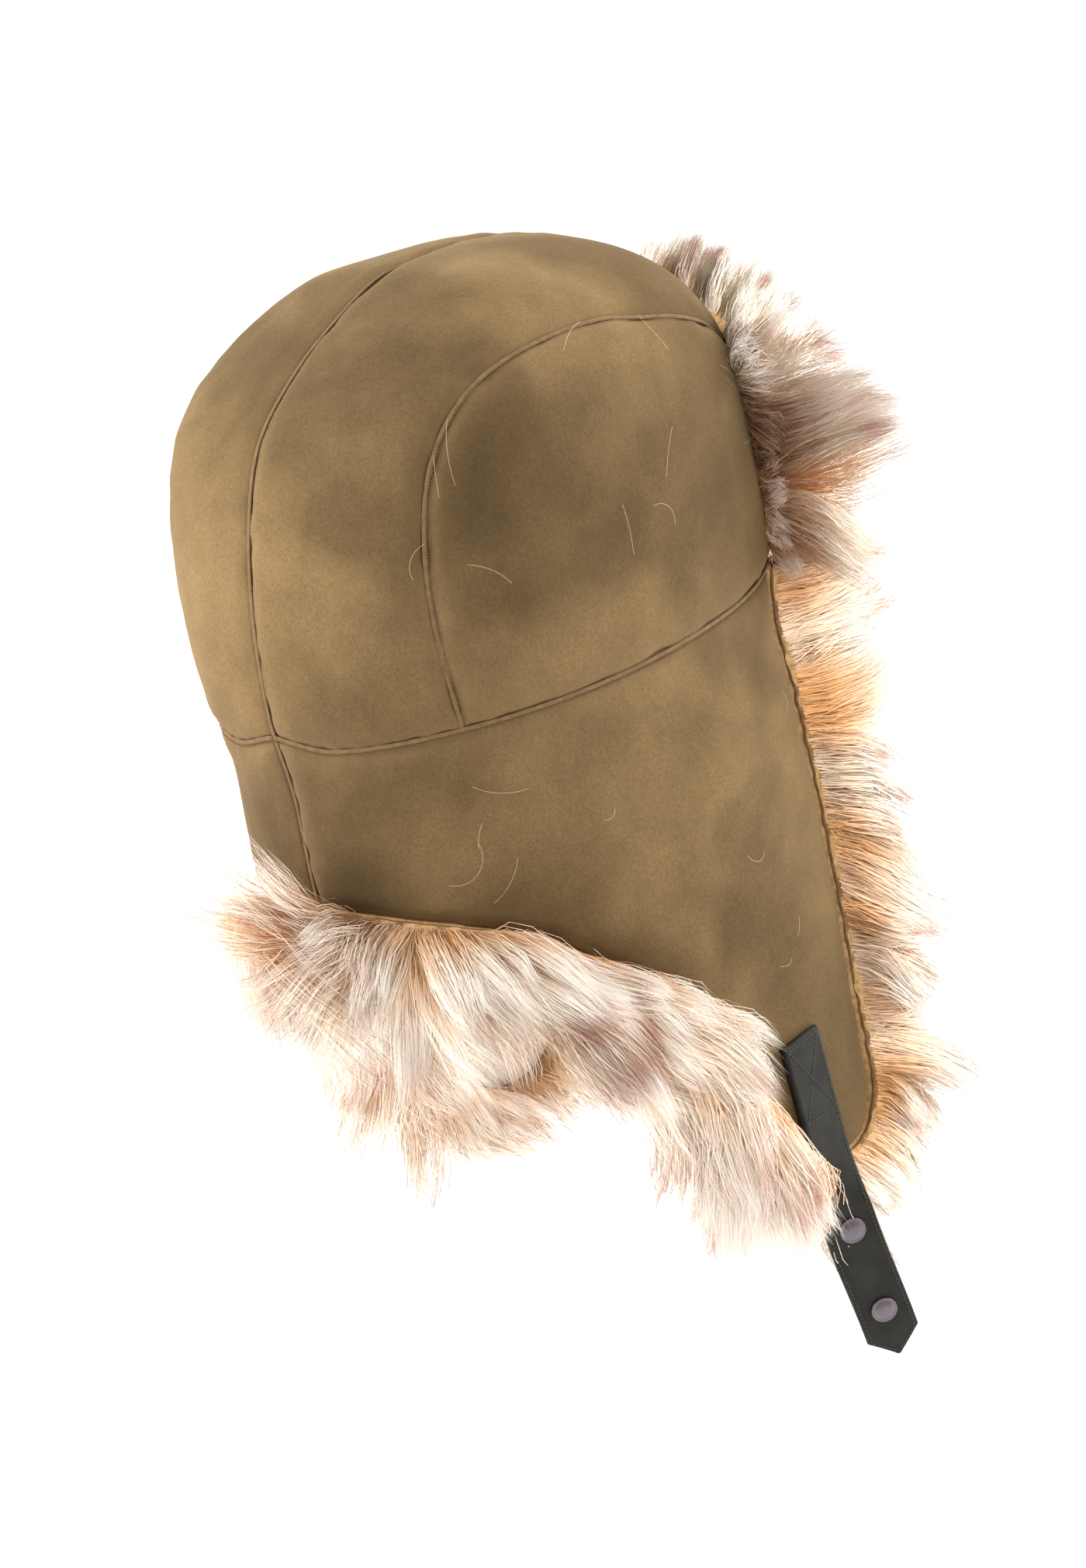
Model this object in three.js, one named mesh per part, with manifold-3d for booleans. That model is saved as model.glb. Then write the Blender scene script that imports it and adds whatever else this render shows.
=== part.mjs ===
// A shearling hat with ear flaps, a turned-up front flap, a fur trim and a chin strap.
// Millimetres, +Z up. The forehead faces -Y and the wearer's right is -X. The origin is the middle of the
// head opening, level with the seam between the crown and the ear flaps.
// "turn" is the angle in degrees round the head, from the centre back towards the wearer's right: 90 is the
// right side and 180 the centre front.
import * as THREE from 'three';
import { mergeVertices } from 'three/addons/utils/BufferGeometryUtils.js';
import Module from 'manifold-3d';

const wasm = await Module();
wasm.setup();

// Driving dimensions

const PANEL_THICKNESS = 8; // one hide: suede skin outside, clipped wool inside
const SEAM_GAP = 0.4;
const CONTACT_GAP = 0.3;

// Level rings of the hat's outer surface, from below the flaps to the top of the crown. back, front and
// half are the reaches from the upright axis, and square is the ring's superellipse power.
const RINGS = [
  { z: -330, back: 112, front: 115, half: 98, square: 2.1 },
  { z: -204, back: 112, front: 115, half: 98, square: 2.1 },
  { z: -129, back: 112, front: 115, half: 97, square: 2.1 },
  { z: -56, back: 110.5, front: 115, half: 94, square: 2.05 },
  { z: -20, back: 108.3, front: 115.5, half: 90.5, square: 2.05 },
  { z: 11, back: 110, front: 118, half: 93, square: 2.15 },
  { z: 47, back: 105.5, front: 116, half: 94, square: 2.3 },
  { z: 80, back: 96, front: 112, half: 90, square: 2.5 },
  { z: 105, back: 82, front: 101, half: 84, square: 2.5 },
  { z: 123, back: 57.5, front: 83, half: 70, square: 2.45 },
  { z: 135, back: 31.5, front: 59, half: 50.5, square: 2.35 },
  { z: 141, back: 14, front: 32, half: 33, square: 2.2 },
  { z: 142.5, back: 0, front: 0, half: 0, square: 2.2 },
];

// Soft dents in the crown: centre, radius and depth.
const DENTS = [
  { x: -76, y: -40, z: 108, radius: 17, depth: 3.5 },
  { x: -48, y: -32, z: 134, radius: 22, depth: 2.5 },
  { x: 50, y: -36, z: 132, radius: 24, depth: 2.5 },
];

// Height of the seam between the crown and the flaps, and of the brow edge that goes on from it.
const LEVEL_SEAM = [
  { turn: 0, z: 3.5 },
  { turn: 13, z: -1.5 },
  { turn: 40, z: -1 },
  { turn: 95, z: -1.5 },
  { turn: 140, z: -1 },
  { turn: 180, z: 6 },
];
const ARCH_START_TURN = 39.5;
const ARCH_END_TURN = 152;

// The arched seam of the side panel, from behind the ear over the side of the crown and down to the brow.
// The points are near the surface and are moved onto it.
const ARCH = [
  { x: -66, y: 79.5, z: -1 },
  { x: -67, y: 81.4, z: 35.2 },
  { x: -67.6, y: 77.6, z: 66 },
  { x: -68.7, y: 66.6, z: 92.3 },
  { x: -71, y: 44, z: 111.3 },
  { x: -75, y: 9, z: 118 },
  { x: -76, y: -28, z: 115 },
  { x: -74, y: -63, z: 102 },
  { x: -62, y: -90, z: 82 },
  { x: -57, y: -102, z: 48 },
  { x: -55, y: -104, z: 1 },
];

// The lower edge of the nape and the ear flap, and the flap's upright front edge.
const HEM = [
  { turn: 0, z: -61 },
  { turn: 17, z: -65 },
  { turn: 32, z: -72 },
  { turn: 46, z: -83 },
  { turn: 60, z: -106 },
  { turn: 70, z: -126 },
  { turn: 78, z: -153 },
  { turn: 87, z: -182 },
  { turn: 96, z: -203 },
  { turn: 105, z: -212 },
  { turn: 115, z: -210 },
  { turn: 122, z: -199 },
];
const FLAP_FRONT = [
  { turn: 140, z: -1 },
  { turn: 136.7, z: -48 },
  { turn: 132.4, z: -87 },
  { turn: 128, z: -123 },
  { turn: 124, z: -160 },
  { turn: 122, z: -199 },
];

// Grid steps of the panels
const STEPS = { archRise: 8, archTop: 12, strip: 6, flapAround: 22, flapDown: 8 };

// The turned-up front flap
const FRONT_FLAP = {
  startTurn: 138,
  endTurn: 222,
  bottom: 9,
  top: 88,
  cornerDrop: 12,
  clearance: 0.6,
  thickness: 5,
  stepsAround: 26,
  stepsUp: 8,
};

// Its locks. rise is the upward lean of a lock, edgeRise that of the top row, and fan the sideways lean of
// the locks at the two ends.
const FRONT_LOCKS = { reach: 43, edgeReach: 30, rise: 0.1, edgeRise: 0.6, fan: 0.5 };

// The fur trim's backing roll and its locks. out points away from the hem in the surface and lift away from
// the head. reach is the length of the locks at that place on the roll.
const TRIM_SECTION = [
  { out: 0.4, lift: 2.5, reach: 0 },
  { out: 3, lift: 5, reach: 16 },
  { out: 8, lift: 5.5, reach: 27 },
  { out: 12, lift: 2.5, reach: 34 },
  { out: 13.5, lift: -2, reach: 36 },
  { out: 12, lift: -7.5, reach: 34 },
  { out: 9, lift: -11.5, reach: 26 },
  { out: 4, lift: -12.5, reach: 14 },
  { out: 0.4, lift: -11, reach: 0 },
];

// How the locks change along the hem, from the centre back (part 0) to the top of the flap's front edge
// (part 1): the scale of the upper and lower locks, their lean along the hem and back over the suede.
const TRIM_LOCKS = [
  { part: 0, upper: 2.15, lower: 1.1, comb: 0, over: 1.15 },
  { part: 0.03, upper: 2.05, lower: 1.1, comb: 0.1, over: 1.05 },
  { part: 0.1, upper: 1.55, lower: 1, comb: 0.3, over: 0.75 },
  { part: 0.2, upper: 1.1, lower: 1, comb: 0.5, over: 0.1 },
  { part: 0.4, upper: 1, lower: 1, comb: 0.45, over: 0 },
  { part: 0.52, upper: 1, lower: 1.1, comb: 0.15, over: 0 },
  { part: 0.64, upper: 1.05, lower: 1.1, comb: -0.1, over: 0 },
  { part: 0.75, upper: 1.15, lower: 1.15, comb: -0.4, over: 0 },
  { part: 0.85, upper: 1.25, lower: 1.2, comb: -0.3, over: 0 },
  { part: 1, upper: 1.45, lower: 1.45, comb: 0, over: 0 },
];
const TRIM_STEP = 7;

// The chin strap, its snaps and the stud that they close on
const STRAP = { width: 21, thickness: 3, length: 134, tipHeight: 8.5, tipFlat: 2, turn: 96.8, topZ: -158 };

// How the strap leaves the flap: towards the face along the hem, lift of its middle plane over the suede,
// and the turn of its face towards the back.
const STRAP_ROUTE = [
  { along: 0, forward: 0, lift: 1.9, twist: 0 },
  { along: 34, forward: 1, lift: 1.9, twist: 0 },
  { along: 50, forward: -1.2, lift: 4, twist: 4 },
  { along: 71, forward: -3.4, lift: 7.3, twist: 34 },
  { along: 134, forward: 6, lift: 8, twist: 36 },
];
const STRAP_STEPS = { along: 30, across: 4 };

// The free space round the strap that the fur keeps: behind, in front and beside it.
const STRAP_SPACE = { behind: 4.2, front: 16, beside: 1.2 };
const SNAP = { capRadius: 5.1, capHeight: 1.8, postRadius: 2, holeRadius: 2.3, socketRadius: 4.8, sides: 16 };
const SNAP_FROM_TIP = { lower: 20.5, upper: 57 };
const STUD = { turn: 96.8, z: -178, seat: 0.45 };

// Colours
const SUEDE = new THREE.MeshStandardMaterial({ color: 0x8a7350, roughness: 0.95, metalness: 0 });
const FUR = new THREE.MeshStandardMaterial({ color: 0xe8d5bd, roughness: 0.9, metalness: 0 });
const STRAP_LEATHER = new THREE.MeshStandardMaterial({ color: 0x3d3e35, roughness: 0.8, metalness: 0 });
const GUNMETAL = new THREE.MeshStandardMaterial({ color: 0x6e666c, roughness: 0.35, metalness: 1 });

// The hat's outer surface

function catmullRom(a, b, c, d, t) {
  const slope = c - a;
  const bend = 2 * a - 5 * b + 4 * c - d;
  const turnOver = 3 * b - a - 3 * c + d;
  return 0.5 * (2 * b + slope * t + bend * t ** 2 + turnOver * t ** 3);
}

// The row past the apex mirrors the one before it, so the crown closes round.
const BELOW_FIRST = RINGS[0];
const BEFORE_APEX = RINGS[RINGS.length - 2];
const PAST_APEX = {
  z: BEFORE_APEX.z,
  back: -BEFORE_APEX.back,
  front: -BEFORE_APEX.front,
  half: -BEFORE_APEX.half,
  square: BEFORE_APEX.square,
};

function ringValue(name, row) {
  const last = RINGS.length - 1;
  const index = Math.min(Math.floor(row), last - 1);
  const before = index === 0 ? BELOW_FIRST : RINGS[index - 1];
  const after = index + 2 > last ? PAST_APEX : RINGS[index + 2];
  return catmullRom(before[name], RINGS[index][name], RINGS[index + 1][name], after[name], row - index);
}

function reachAt(turn, row) {
  const along = Math.cos(turn);
  const length = Math.max(ringValue(along > 0 ? 'back' : 'front', row), 1e-6);
  const half = Math.max(ringValue('half', row), 1e-6);
  const power = ringValue('square', row);
  return (Math.abs(along / length) ** power + Math.abs(Math.sin(turn) / half) ** power) ** (-1 / power);
}

function bisect(low, high, isBelow) {
  for (let i = 0; i < 40; i += 1) {
    const middle = (low + high) / 2;
    if (isBelow(middle)) {
      low = middle;
    } else {
      high = middle;
    }
  }
  return (low + high) / 2;
}

function ringPoint(turn, row) {
  const reach = reachAt(turn, row);
  return new THREE.Vector3(-reach * Math.sin(turn), reach * Math.cos(turn), ringValue('z', row));
}

function rowAtHeight(z) {
  return bisect(0, RINGS.length - 1, (row) => ringValue('z', row) < z);
}

const SEAM_ROW = rowAtHeight(0);

function atTurn(turnDegrees, z) {
  return ringPoint(THREE.MathUtils.degToRad(turnDegrees), rowAtHeight(z));
}

// Moves a point onto the surface: level below the seam, and along the ray from the origin above it.
function ontoForm(point) {
  const turn = Math.atan2(-point.x, point.y);
  if (point.z <= 0) {
    return ringPoint(turn, rowAtHeight(point.z));
  }
  const rise = Math.atan2(point.z, Math.hypot(point.x, point.y));
  const riseAt = (row) => Math.atan2(ringValue('z', row), reachAt(turn, row));
  const row = bisect(SEAM_ROW, RINGS.length - 1, (trial) => riseAt(trial) < rise);
  return ringPoint(turn, row);
}

function formNormal(point) {
  const step = 1;
  const outward = point.z <= 0 ? new THREE.Vector3(point.x, point.y, 0) : point.clone();
  outward.normalize();
  const side = new THREE.Vector3(0, 0, 1);
  if (Math.abs(outward.z) > 0.9) {
    side.set(0, 1, 0);
  }
  const first = new THREE.Vector3().crossVectors(side, outward).normalize();
  const second = new THREE.Vector3().crossVectors(outward, first);
  const across = (direction) => {
    const ahead = ontoForm(point.clone().addScaledVector(direction, step));
    return ahead.sub(ontoForm(point.clone().addScaledVector(direction, -step)));
  };
  return across(first).cross(across(second)).normalize();
}

// A point at a height over the suede, with the dents pressed in.
function overForm(point, height) {
  const onSurface = ontoForm(point);
  const normal = formNormal(onSurface);
  let dent = 0;
  for (const { x, y, z, radius, depth } of DENTS) {
    const away = onSurface.distanceTo(new THREE.Vector3(x, y, z));
    dent += depth * Math.exp(-((away / radius) ** 2));
  }
  return onSurface.addScaledVector(normal, height - dent);
}

// Seams and edges

function tableValue(table, key, name, value) {
  const last = table.length - 1;
  let index = 0;
  while (index < last - 1 && value > table[index + 1][key]) {
    index += 1;
  }
  const t = (value - table[index][key]) / (table[index + 1][key] - table[index][key]);
  const before = table[Math.max(index - 1, 0)];
  const after = table[Math.min(index + 2, last)];
  return catmullRom(before[name], table[index][name], table[index + 1][name], after[name], t);
}

function levelSeam(fromTurn, toTurn, steps) {
  return Array.from({ length: steps + 1 }, (_, i) => {
    const turn = fromTurn + ((toTurn - fromTurn) * i) / steps;
    return atTurn(turn, tableValue(LEVEL_SEAM, 'turn', 'z', turn));
  });
}

// Equal steps along a smooth curve through points, moved onto the surface.
function smoothOnForm(points, steps) {
  const curve = new THREE.CatmullRomCurve3(points, false, 'centripetal');
  return curve.getSpacedPoints(steps).map(ontoForm);
}

function edgeOnForm(table, steps) {
  return smoothOnForm(table.map((row) => atTurn(row.turn, row.z)), steps);
}

function centreSeam(fromAngle, steps) {
  return Array.from({ length: steps + 1 }, (_, i) => {
    const angle = fromAngle + ((Math.PI - fromAngle) * i) / steps;
    return ontoForm(new THREE.Vector3(0, Math.cos(angle), Math.sin(angle)).multiplyScalar(100));
  });
}

// Grids and slabs

// Coons patch between four sides, moved onto the surface. bottom and top run from left to right, and left
// and right run from bottom to top.
function patch(bottom, top, left, right) {
  const across = bottom.length - 1;
  const up = left.length - 1;
  const rows = [];
  for (let j = 0; j <= up; j += 1) {
    const v = j / up;
    const row = [];
    for (let i = 0; i <= across; i += 1) {
      const u = i / across;
      const point = new THREE.Vector3()
        .addScaledVector(bottom[i], 1 - v)
        .addScaledVector(top[i], v)
        .addScaledVector(left[j], 1 - u)
        .addScaledVector(right[j], u)
        .addScaledVector(bottom[0], -(1 - u) * (1 - v))
        .addScaledVector(bottom[across], -u * (1 - v))
        .addScaledVector(top[0], -(1 - u) * v)
        .addScaledVector(top[across], -u * v);
      row.push(ontoForm(point));
    }
    rows.push(row);
  }
  return rows;
}

// Pulls the border of a grid in by a distance, so that neighbours keep a gap.
function inset(rows, distance) {
  const up = rows.length - 1;
  const across = rows[0].length - 1;
  const moved = rows.map((row) => row.map((point) => point.clone()));
  const pull = (j, i, fromJ, fromI) => {
    const towards = rows[fromJ][fromI].clone().sub(rows[j][i]).normalize();
    moved[j][i].addScaledVector(towards, distance);
  };
  for (let i = 0; i <= across; i += 1) {
    pull(0, i, 1, i);
    pull(up, i, up - 1, i);
  }
  for (let j = 0; j <= up; j += 1) {
    pull(j, 0, j, 1);
    pull(j, across, j, across - 1);
  }
  return moved;
}

// Closed slab between an outer and an inner grid of the same size.
function slab(outer, inner) {
  const up = outer.length - 1;
  const across = outer[0].length - 1;
  const count = (up + 1) * (across + 1);
  const positions = [...outer.flat(), ...inner.flat()].flatMap((point) => [point.x, point.y, point.z]);
  const at = (j, i) => j * (across + 1) + i;
  const faces = [];
  const quad = (a, b, c, d) => faces.push(a, b, c, a, c, d);
  for (let j = 0; j < up; j += 1) {
    for (let i = 0; i < across; i += 1) {
      quad(at(j, i), at(j, i + 1), at(j + 1, i + 1), at(j + 1, i));
      quad(count + at(j, i), count + at(j + 1, i), count + at(j + 1, i + 1), count + at(j, i + 1));
    }
  }
  const wall = (a, b) => quad(a, count + a, count + b, b);
  for (let i = 0; i < across; i += 1) {
    wall(at(0, i), at(0, i + 1));
    wall(at(up, i + 1), at(up, i));
  }
  for (let j = 0; j < up; j += 1) {
    wall(at(j, across), at(j + 1, across));
    wall(at(j + 1, 0), at(j, 0));
  }
  return closedGeometry(positions, faces);
}

// Geometry from positions and faces, turned so that its volume is positive.
function closedGeometry(positions, faces) {
  const geometry = new THREE.BufferGeometry();
  geometry.setAttribute('position', new THREE.Float32BufferAttribute(positions, 3));
  let volume = 0;
  const corner = (index) => new THREE.Vector3().fromArray(positions, index * 3);
  for (let i = 0; i < faces.length; i += 3) {
    volume += corner(faces[i]).dot(corner(faces[i + 1]).cross(corner(faces[i + 2])));
  }
  geometry.setIndex(volume > 0 ? faces : faces.toReversed());
  return geometry;
}

function mirrored(geometry) {
  const { array } = geometry.attributes.position;
  const positions = Array.from(array, (value, i) => (i % 3 === 0 ? -value : value));
  return closedGeometry(positions, Array.from(geometry.index.array));
}

// Solids for cutting

function solidOf(geometry) {
  const bare = new THREE.BufferGeometry();
  bare.setAttribute('position', geometry.attributes.position.clone());
  if (geometry.index) {
    bare.setIndex(geometry.index.clone());
  }
  const merged = mergeVertices(bare, 1e-4);
  return new wasm.Manifold(new wasm.Mesh({
    numProp: 3,
    vertProperties: new Float32Array(merged.attributes.position.array),
    triVerts: new Uint32Array(merged.index.array),
  }));
}

// The largest connected body of a cut solid, without crumbs that the cut left behind.
function largestBody(solid) {
  const mesh = solid.getMesh();
  const owner = Array.from({ length: mesh.vertProperties.length / 3 }, (_, i) => i);
  const rootOf = (i) => {
    while (owner[i] !== i) {
      i = owner[i];
    }
    return i;
  };
  for (let i = 0; i < mesh.triVerts.length; i += 3) {
    const root = rootOf(mesh.triVerts[i]);
    owner[rootOf(mesh.triVerts[i + 1])] = root;
    owner[rootOf(mesh.triVerts[i + 2])] = root;
  }
  const sizes = new Map();
  for (const vertex of mesh.triVerts) {
    const root = rootOf(vertex);
    sizes.set(root, (sizes.get(root) ?? 0) + 1);
  }
  const [largest] = [...sizes.entries()].sort((a, b) => b[1] - a[1])[0];
  const kept = Array.from(mesh.triVerts).filter((vertex) => rootOf(vertex) === largest);
  const geometry = new THREE.BufferGeometry();
  geometry.setAttribute('position', new THREE.Float32BufferAttribute(mesh.vertProperties, 3));
  geometry.setIndex(kept);
  return mergeVertices(geometry, 1e-4);
}

// Crown and flap panels

function panelFrom(rows) {
  const edged = inset(rows, SEAM_GAP / 2);
  const outer = edged.map((row) => row.map((point) => overForm(point, 0)));
  const inner = edged.map((row) => row.map((point) => overForm(point, -PANEL_THICKNESS)));
  return slab(outer, inner);
}

function archPoints() {
  const steps = 2 * STEPS.archRise + STEPS.archTop;
  const all = smoothOnForm(ARCH.map((row) => new THREE.Vector3(row.x, row.y, row.z)), steps);
  all[0] = atTurn(ARCH_START_TURN, tableValue(LEVEL_SEAM, 'turn', 'z', ARCH_START_TURN));
  all[all.length - 1] = atTurn(ARCH_END_TURN, tableValue(LEVEL_SEAM, 'turn', 'z', ARCH_END_TURN));
  return all;
}

function crownSide() {
  const arch = archPoints();
  const left = arch.slice(0, STEPS.archRise + 1);
  const top = arch.slice(STEPS.archRise, STEPS.archRise + STEPS.archTop + 1);
  const right = arch.slice(STEPS.archRise + STEPS.archTop).reverse();
  const bottom = levelSeam(ARCH_START_TURN, ARCH_END_TURN, STEPS.archTop);
  return panelFrom(patch(bottom, top, left, right));
}

function crownCentre() {
  const arch = archPoints();
  const backPoint = atTurn(0, LEVEL_SEAM[0].z);
  const seam = centreSeam(Math.atan2(backPoint.z, backPoint.y), arch.length - 1);
  const browPoint = atTurn(180, tableValue(LEVEL_SEAM, 'turn', 'z', 180));
  seam[0] = backPoint;
  seam[seam.length - 1] = browPoint;
  const back = levelSeam(0, ARCH_START_TURN, STEPS.strip);
  const brow = levelSeam(180, ARCH_END_TURN, STEPS.strip);
  return panelFrom(patch(seam, arch, back, brow));
}

function flapGrid() {
  const top = levelSeam(0, FLAP_FRONT[0].turn, STEPS.flapAround);
  const bottom = edgeOnForm(HEM, STEPS.flapAround);
  const lowest = HEM[0].z;
  const step = (LEVEL_SEAM[0].z - lowest) / STEPS.flapDown;
  const back = Array.from({ length: STEPS.flapDown + 1 }, (_, j) => atTurn(0, lowest + step * j));
  const front = edgeOnForm(FLAP_FRONT, STEPS.flapDown).reverse();
  return patch(bottom, top, back, front);
}

// Fur: a closed backing whose skin rises into pointed locks at every other point of its grid

function furTrim() {
  const grid = inset(flapGrid(), SEAM_GAP / 2);
  const hem = grid[0];
  const front = grid.map((row) => row[row.length - 1]);
  const corners = [...hem, ...front.slice(1)];
  const path = [corners[0]];
  for (const corner of corners.slice(1)) {
    const start = path[path.length - 1];
    const pieces = Math.max(Math.round(start.distanceTo(corner) / TRIM_STEP), 1);
    for (let k = 1; k <= pieces; k += 1) {
      path.push(start.clone().lerp(corner, k / pieces));
    }
  }
  const steps = path.length - 1;
  const sections = path.map((point, i) => {
    const before = path[Math.abs(i - 2)].clone();
    before.x *= i < 2 ? -1 : 1; // the hem goes on as its mirror image
    const after = path[Math.min(i + 2, steps)];
    const along = after.clone().sub(before).normalize();
    const normal = formNormal(point);
    const out = new THREE.Vector3().crossVectors(along, normal).normalize();
    const locks = (name) => tableValue(TRIM_LOCKS, 'part', name, i / steps);
    return TRIM_SECTION.map((place, j) => {
      const spot = point.clone().addScaledVector(out, place.out).addScaledVector(normal, place.lift);
      const isLock = (i + j) % 2 === 1 && place.reach > 0 && i > 0 && i < steps;
      if (isLock) {
        const isUpper = place.lift > 0;
        const centre = point.clone().addScaledVector(out, 2).addScaledVector(normal, -PANEL_THICKNESS / 2);
        const direction = spot.clone().sub(centre).normalize().addScaledVector(along, locks('comb'));
        direction.addScaledVector(out, isUpper ? -locks('over') : 0).normalize();
        spot.addScaledVector(direction, place.reach * locks(isUpper ? 'upper' : 'lower'));
      }
      return spot;
    });
  });
  return tube(sections);
}

// Closed skin over a list of rings, with its two ends capped by fans.
function tube(rings) {
  const around = rings[0].length;
  const positions = rings.flat().flatMap((point) => [point.x, point.y, point.z]);
  const faces = [];
  for (let i = 0; i + 1 < rings.length; i += 1) {
    for (let j = 0; j < around; j += 1) {
      const a = i * around + j;
      const b = i * around + ((j + 1) % around);
      faces.push(a, b, b + around, a, b + around, a + around);
    }
  }
  const cap = (ring, isStart) => {
    for (let j = 1; j + 1 < around; j += 1) {
      const base = ring * around;
      faces.push(base, ...(isStart ? [base + j + 1, base + j] : [base + j, base + j + 1]));
    }
  };
  cap(0, true);
  cap(rings.length - 1, false);
  return closedGeometry(positions, faces);
}

function frontFlap() {
  const { startTurn, endTurn, bottom, top, cornerDrop } = FRONT_FLAP;
  const { clearance, thickness, stepsAround, stepsUp } = FRONT_FLAP;
  const rows = [];
  const furRows = [];
  for (let j = 0; j <= stepsUp; j += 1) {
    const row = [];
    const furRow = [];
    for (let i = 0; i <= stepsAround; i += 1) {
      const u = i / stepsAround;
      const turn = startTurn + (endTurn - startTurn) * u;
      const crown = top - cornerDrop * Math.abs(2 * u - 1) ** 4;
      const z = bottom + ((crown - bottom) * j) / stepsUp;
      const base = atTurn(turn, z);
      const face = overForm(base, clearance + thickness);
      const isEdge = j === stepsUp;
      if ((i + j) % 2 === 1) {
        const sideways = atTurn(turn + 1, z).sub(atTurn(turn - 1, z)).normalize();
        const direction = formNormal(base).addScaledVector(sideways, FRONT_LOCKS.fan * (2 * u - 1) ** 5);
        direction.z += isEdge ? FRONT_LOCKS.edgeRise : FRONT_LOCKS.rise;
        face.addScaledVector(direction.normalize(), isEdge ? FRONT_LOCKS.edgeReach : FRONT_LOCKS.reach);
      }
      row.push(overForm(base, clearance));
      furRow.push(face);
    }
    rows.push(row);
    furRows.push(furRow);
  }
  return slab(furRows, rows);
}

// Chin strap, snaps and stud

// A frame on the wearer's right side: x towards the back, y down, z away from the head.
function surfaceFrame(turn, z) {
  const origin = atTurn(turn, z);
  const normal = formNormal(origin);
  const down = new THREE.Vector3(0, 0, -1).addScaledVector(normal, normal.z).normalize();
  const sideways = new THREE.Vector3().crossVectors(down, normal).normalize();
  return new THREE.Matrix4().makeBasis(sideways, down, normal).setPosition(origin);
}

// The strap's own frame at a distance along it: x across, y along, z out of its face.
function strapFrame(along) {
  const middleAt = (distance) => new THREE.Vector3(
    -tableValue(STRAP_ROUTE, 'along', 'forward', distance),
    distance,
    tableValue(STRAP_ROUTE, 'along', 'lift', distance),
  );
  const behind = middleAt(Math.max(along - 1, 0));
  const direction = middleAt(Math.min(along + 1, STRAP.length)).sub(behind).normalize();
  const twist = THREE.MathUtils.degToRad(tableValue(STRAP_ROUTE, 'along', 'twist', along));
  const across = new THREE.Vector3(Math.cos(twist), 0, -Math.sin(twist));
  const face = new THREE.Vector3().crossVectors(across, direction).normalize();
  across.crossVectors(direction, face).normalize();
  return new THREE.Matrix4().makeBasis(across, direction, face).setPosition(middleAt(along));
}

// The strap's solid between two heights over its middle plane, wider by a margin on each side.
function strapSlab(top, bottom, margin) {
  const halfAt = (along) => {
    const left = Math.max(STRAP.length - along, 0) / STRAP.tipHeight;
    const narrow = STRAP.tipFlat / 2;
    return Math.min(STRAP.width / 2, narrow + (STRAP.width / 2 - narrow) * left) + margin;
  };
  const body = STRAP.length - STRAP.tipHeight;
  const stations = Array.from({ length: STRAP_STEPS.along + 1 }, (_, i) => (body * i) / STRAP_STEPS.along);
  stations.push(STRAP.length);
  const sheet = (height) => stations.map((along) => Array.from({ length: STRAP_STEPS.across + 1 }, (_, i) => {
    const across = halfAt(along) * ((2 * i) / STRAP_STEPS.across - 1);
    return new THREE.Vector3(across, 0, height).applyMatrix4(strapFrame(along));
  }));
  return slab(sheet(top), sheet(bottom));
}

function snapFrame(fromTip) {
  return strapFrame(STRAP.length - fromTip);
}

function strapGeometry() {
  let strap = solidOf(strapSlab(STRAP.thickness / 2, -STRAP.thickness / 2, 0));
  const { holeRadius, sides } = SNAP;
  for (const fromTip of Object.values(SNAP_FROM_TIP)) {
    const drill = new THREE.CylinderGeometry(holeRadius, holeRadius, 4 * STRAP.thickness, sides);
    strap = strap.subtract(solidOf(drill.rotateX(Math.PI / 2).applyMatrix4(snapFrame(fromTip))));
  }
  return largestBody(strap);
}

// Cap outside, post through the strap and socket behind it, turned about the z axis.
function snapGeometry() {
  const face = STRAP.thickness / 2 + CONTACT_GAP;
  const back = face + SNAP.capHeight;
  const profile = [
    [0, -back],
    [SNAP.socketRadius, -back],
    [SNAP.socketRadius, -face],
    [SNAP.postRadius, -face],
    [SNAP.postRadius, face],
    [SNAP.capRadius, face],
    [SNAP.capRadius * 0.93, face + SNAP.capHeight * 0.7],
    [SNAP.capRadius * 0.6, face + SNAP.capHeight],
    [0, face + SNAP.capHeight],
  ];
  const lathe = new THREE.LatheGeometry(profile.map(([x, y]) => new THREE.Vector2(x, y)), SNAP.sides);
  return mergedLathe(lathe.rotateX(Math.PI / 2));
}

function studGeometry() {
  const profile = [
    [0, 0],
    [SNAP.socketRadius, 0],
    [SNAP.socketRadius, 1],
    [SNAP.postRadius * 0.8, 1.4],
    [SNAP.postRadius * 0.8, 2.6],
    [SNAP.postRadius, 3.2],
    [SNAP.postRadius * 0.6, 4],
    [0, 4],
  ];
  const lathe = new THREE.LatheGeometry(profile.map(([x, y]) => new THREE.Vector2(x, y)), SNAP.sides);
  return mergedLathe(lathe.rotateX(Math.PI / 2));
}

function mergedLathe(lathe) {
  lathe.deleteAttribute('normal');
  lathe.deleteAttribute('uv');
  const merged = mergeVertices(lathe, 1e-4);
  const faces = [];
  for (let i = 0; i < merged.index.count; i += 3) {
    const [a, b, c] = [0, 1, 2].map((k) => merged.index.getX(i + k));
    if (a !== b && b !== c && c !== a) {
      faces.push(a, b, c);
    }
  }
  return closedGeometry(Array.from(merged.attributes.position.array), faces);
}

// Assembly

const hat = new THREE.Group();

function addPiece(name, geometry, material, parent = hat) {
  const piece = new THREE.Mesh(geometry, material);
  piece.name = name;
  parent.add(piece);
  return piece;
}

const panels = [
  ['crown_side', crownSide()],
  ['crown_centre', crownCentre()],
  ['ear_flap', panelFrom(flapGrid())],
];
for (const [name, geometry] of panels) {
  addPiece(`${name}_right`, geometry, SUEDE);
  addPiece(`${name}_left`, mirrored(geometry), SUEDE);
}

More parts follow.
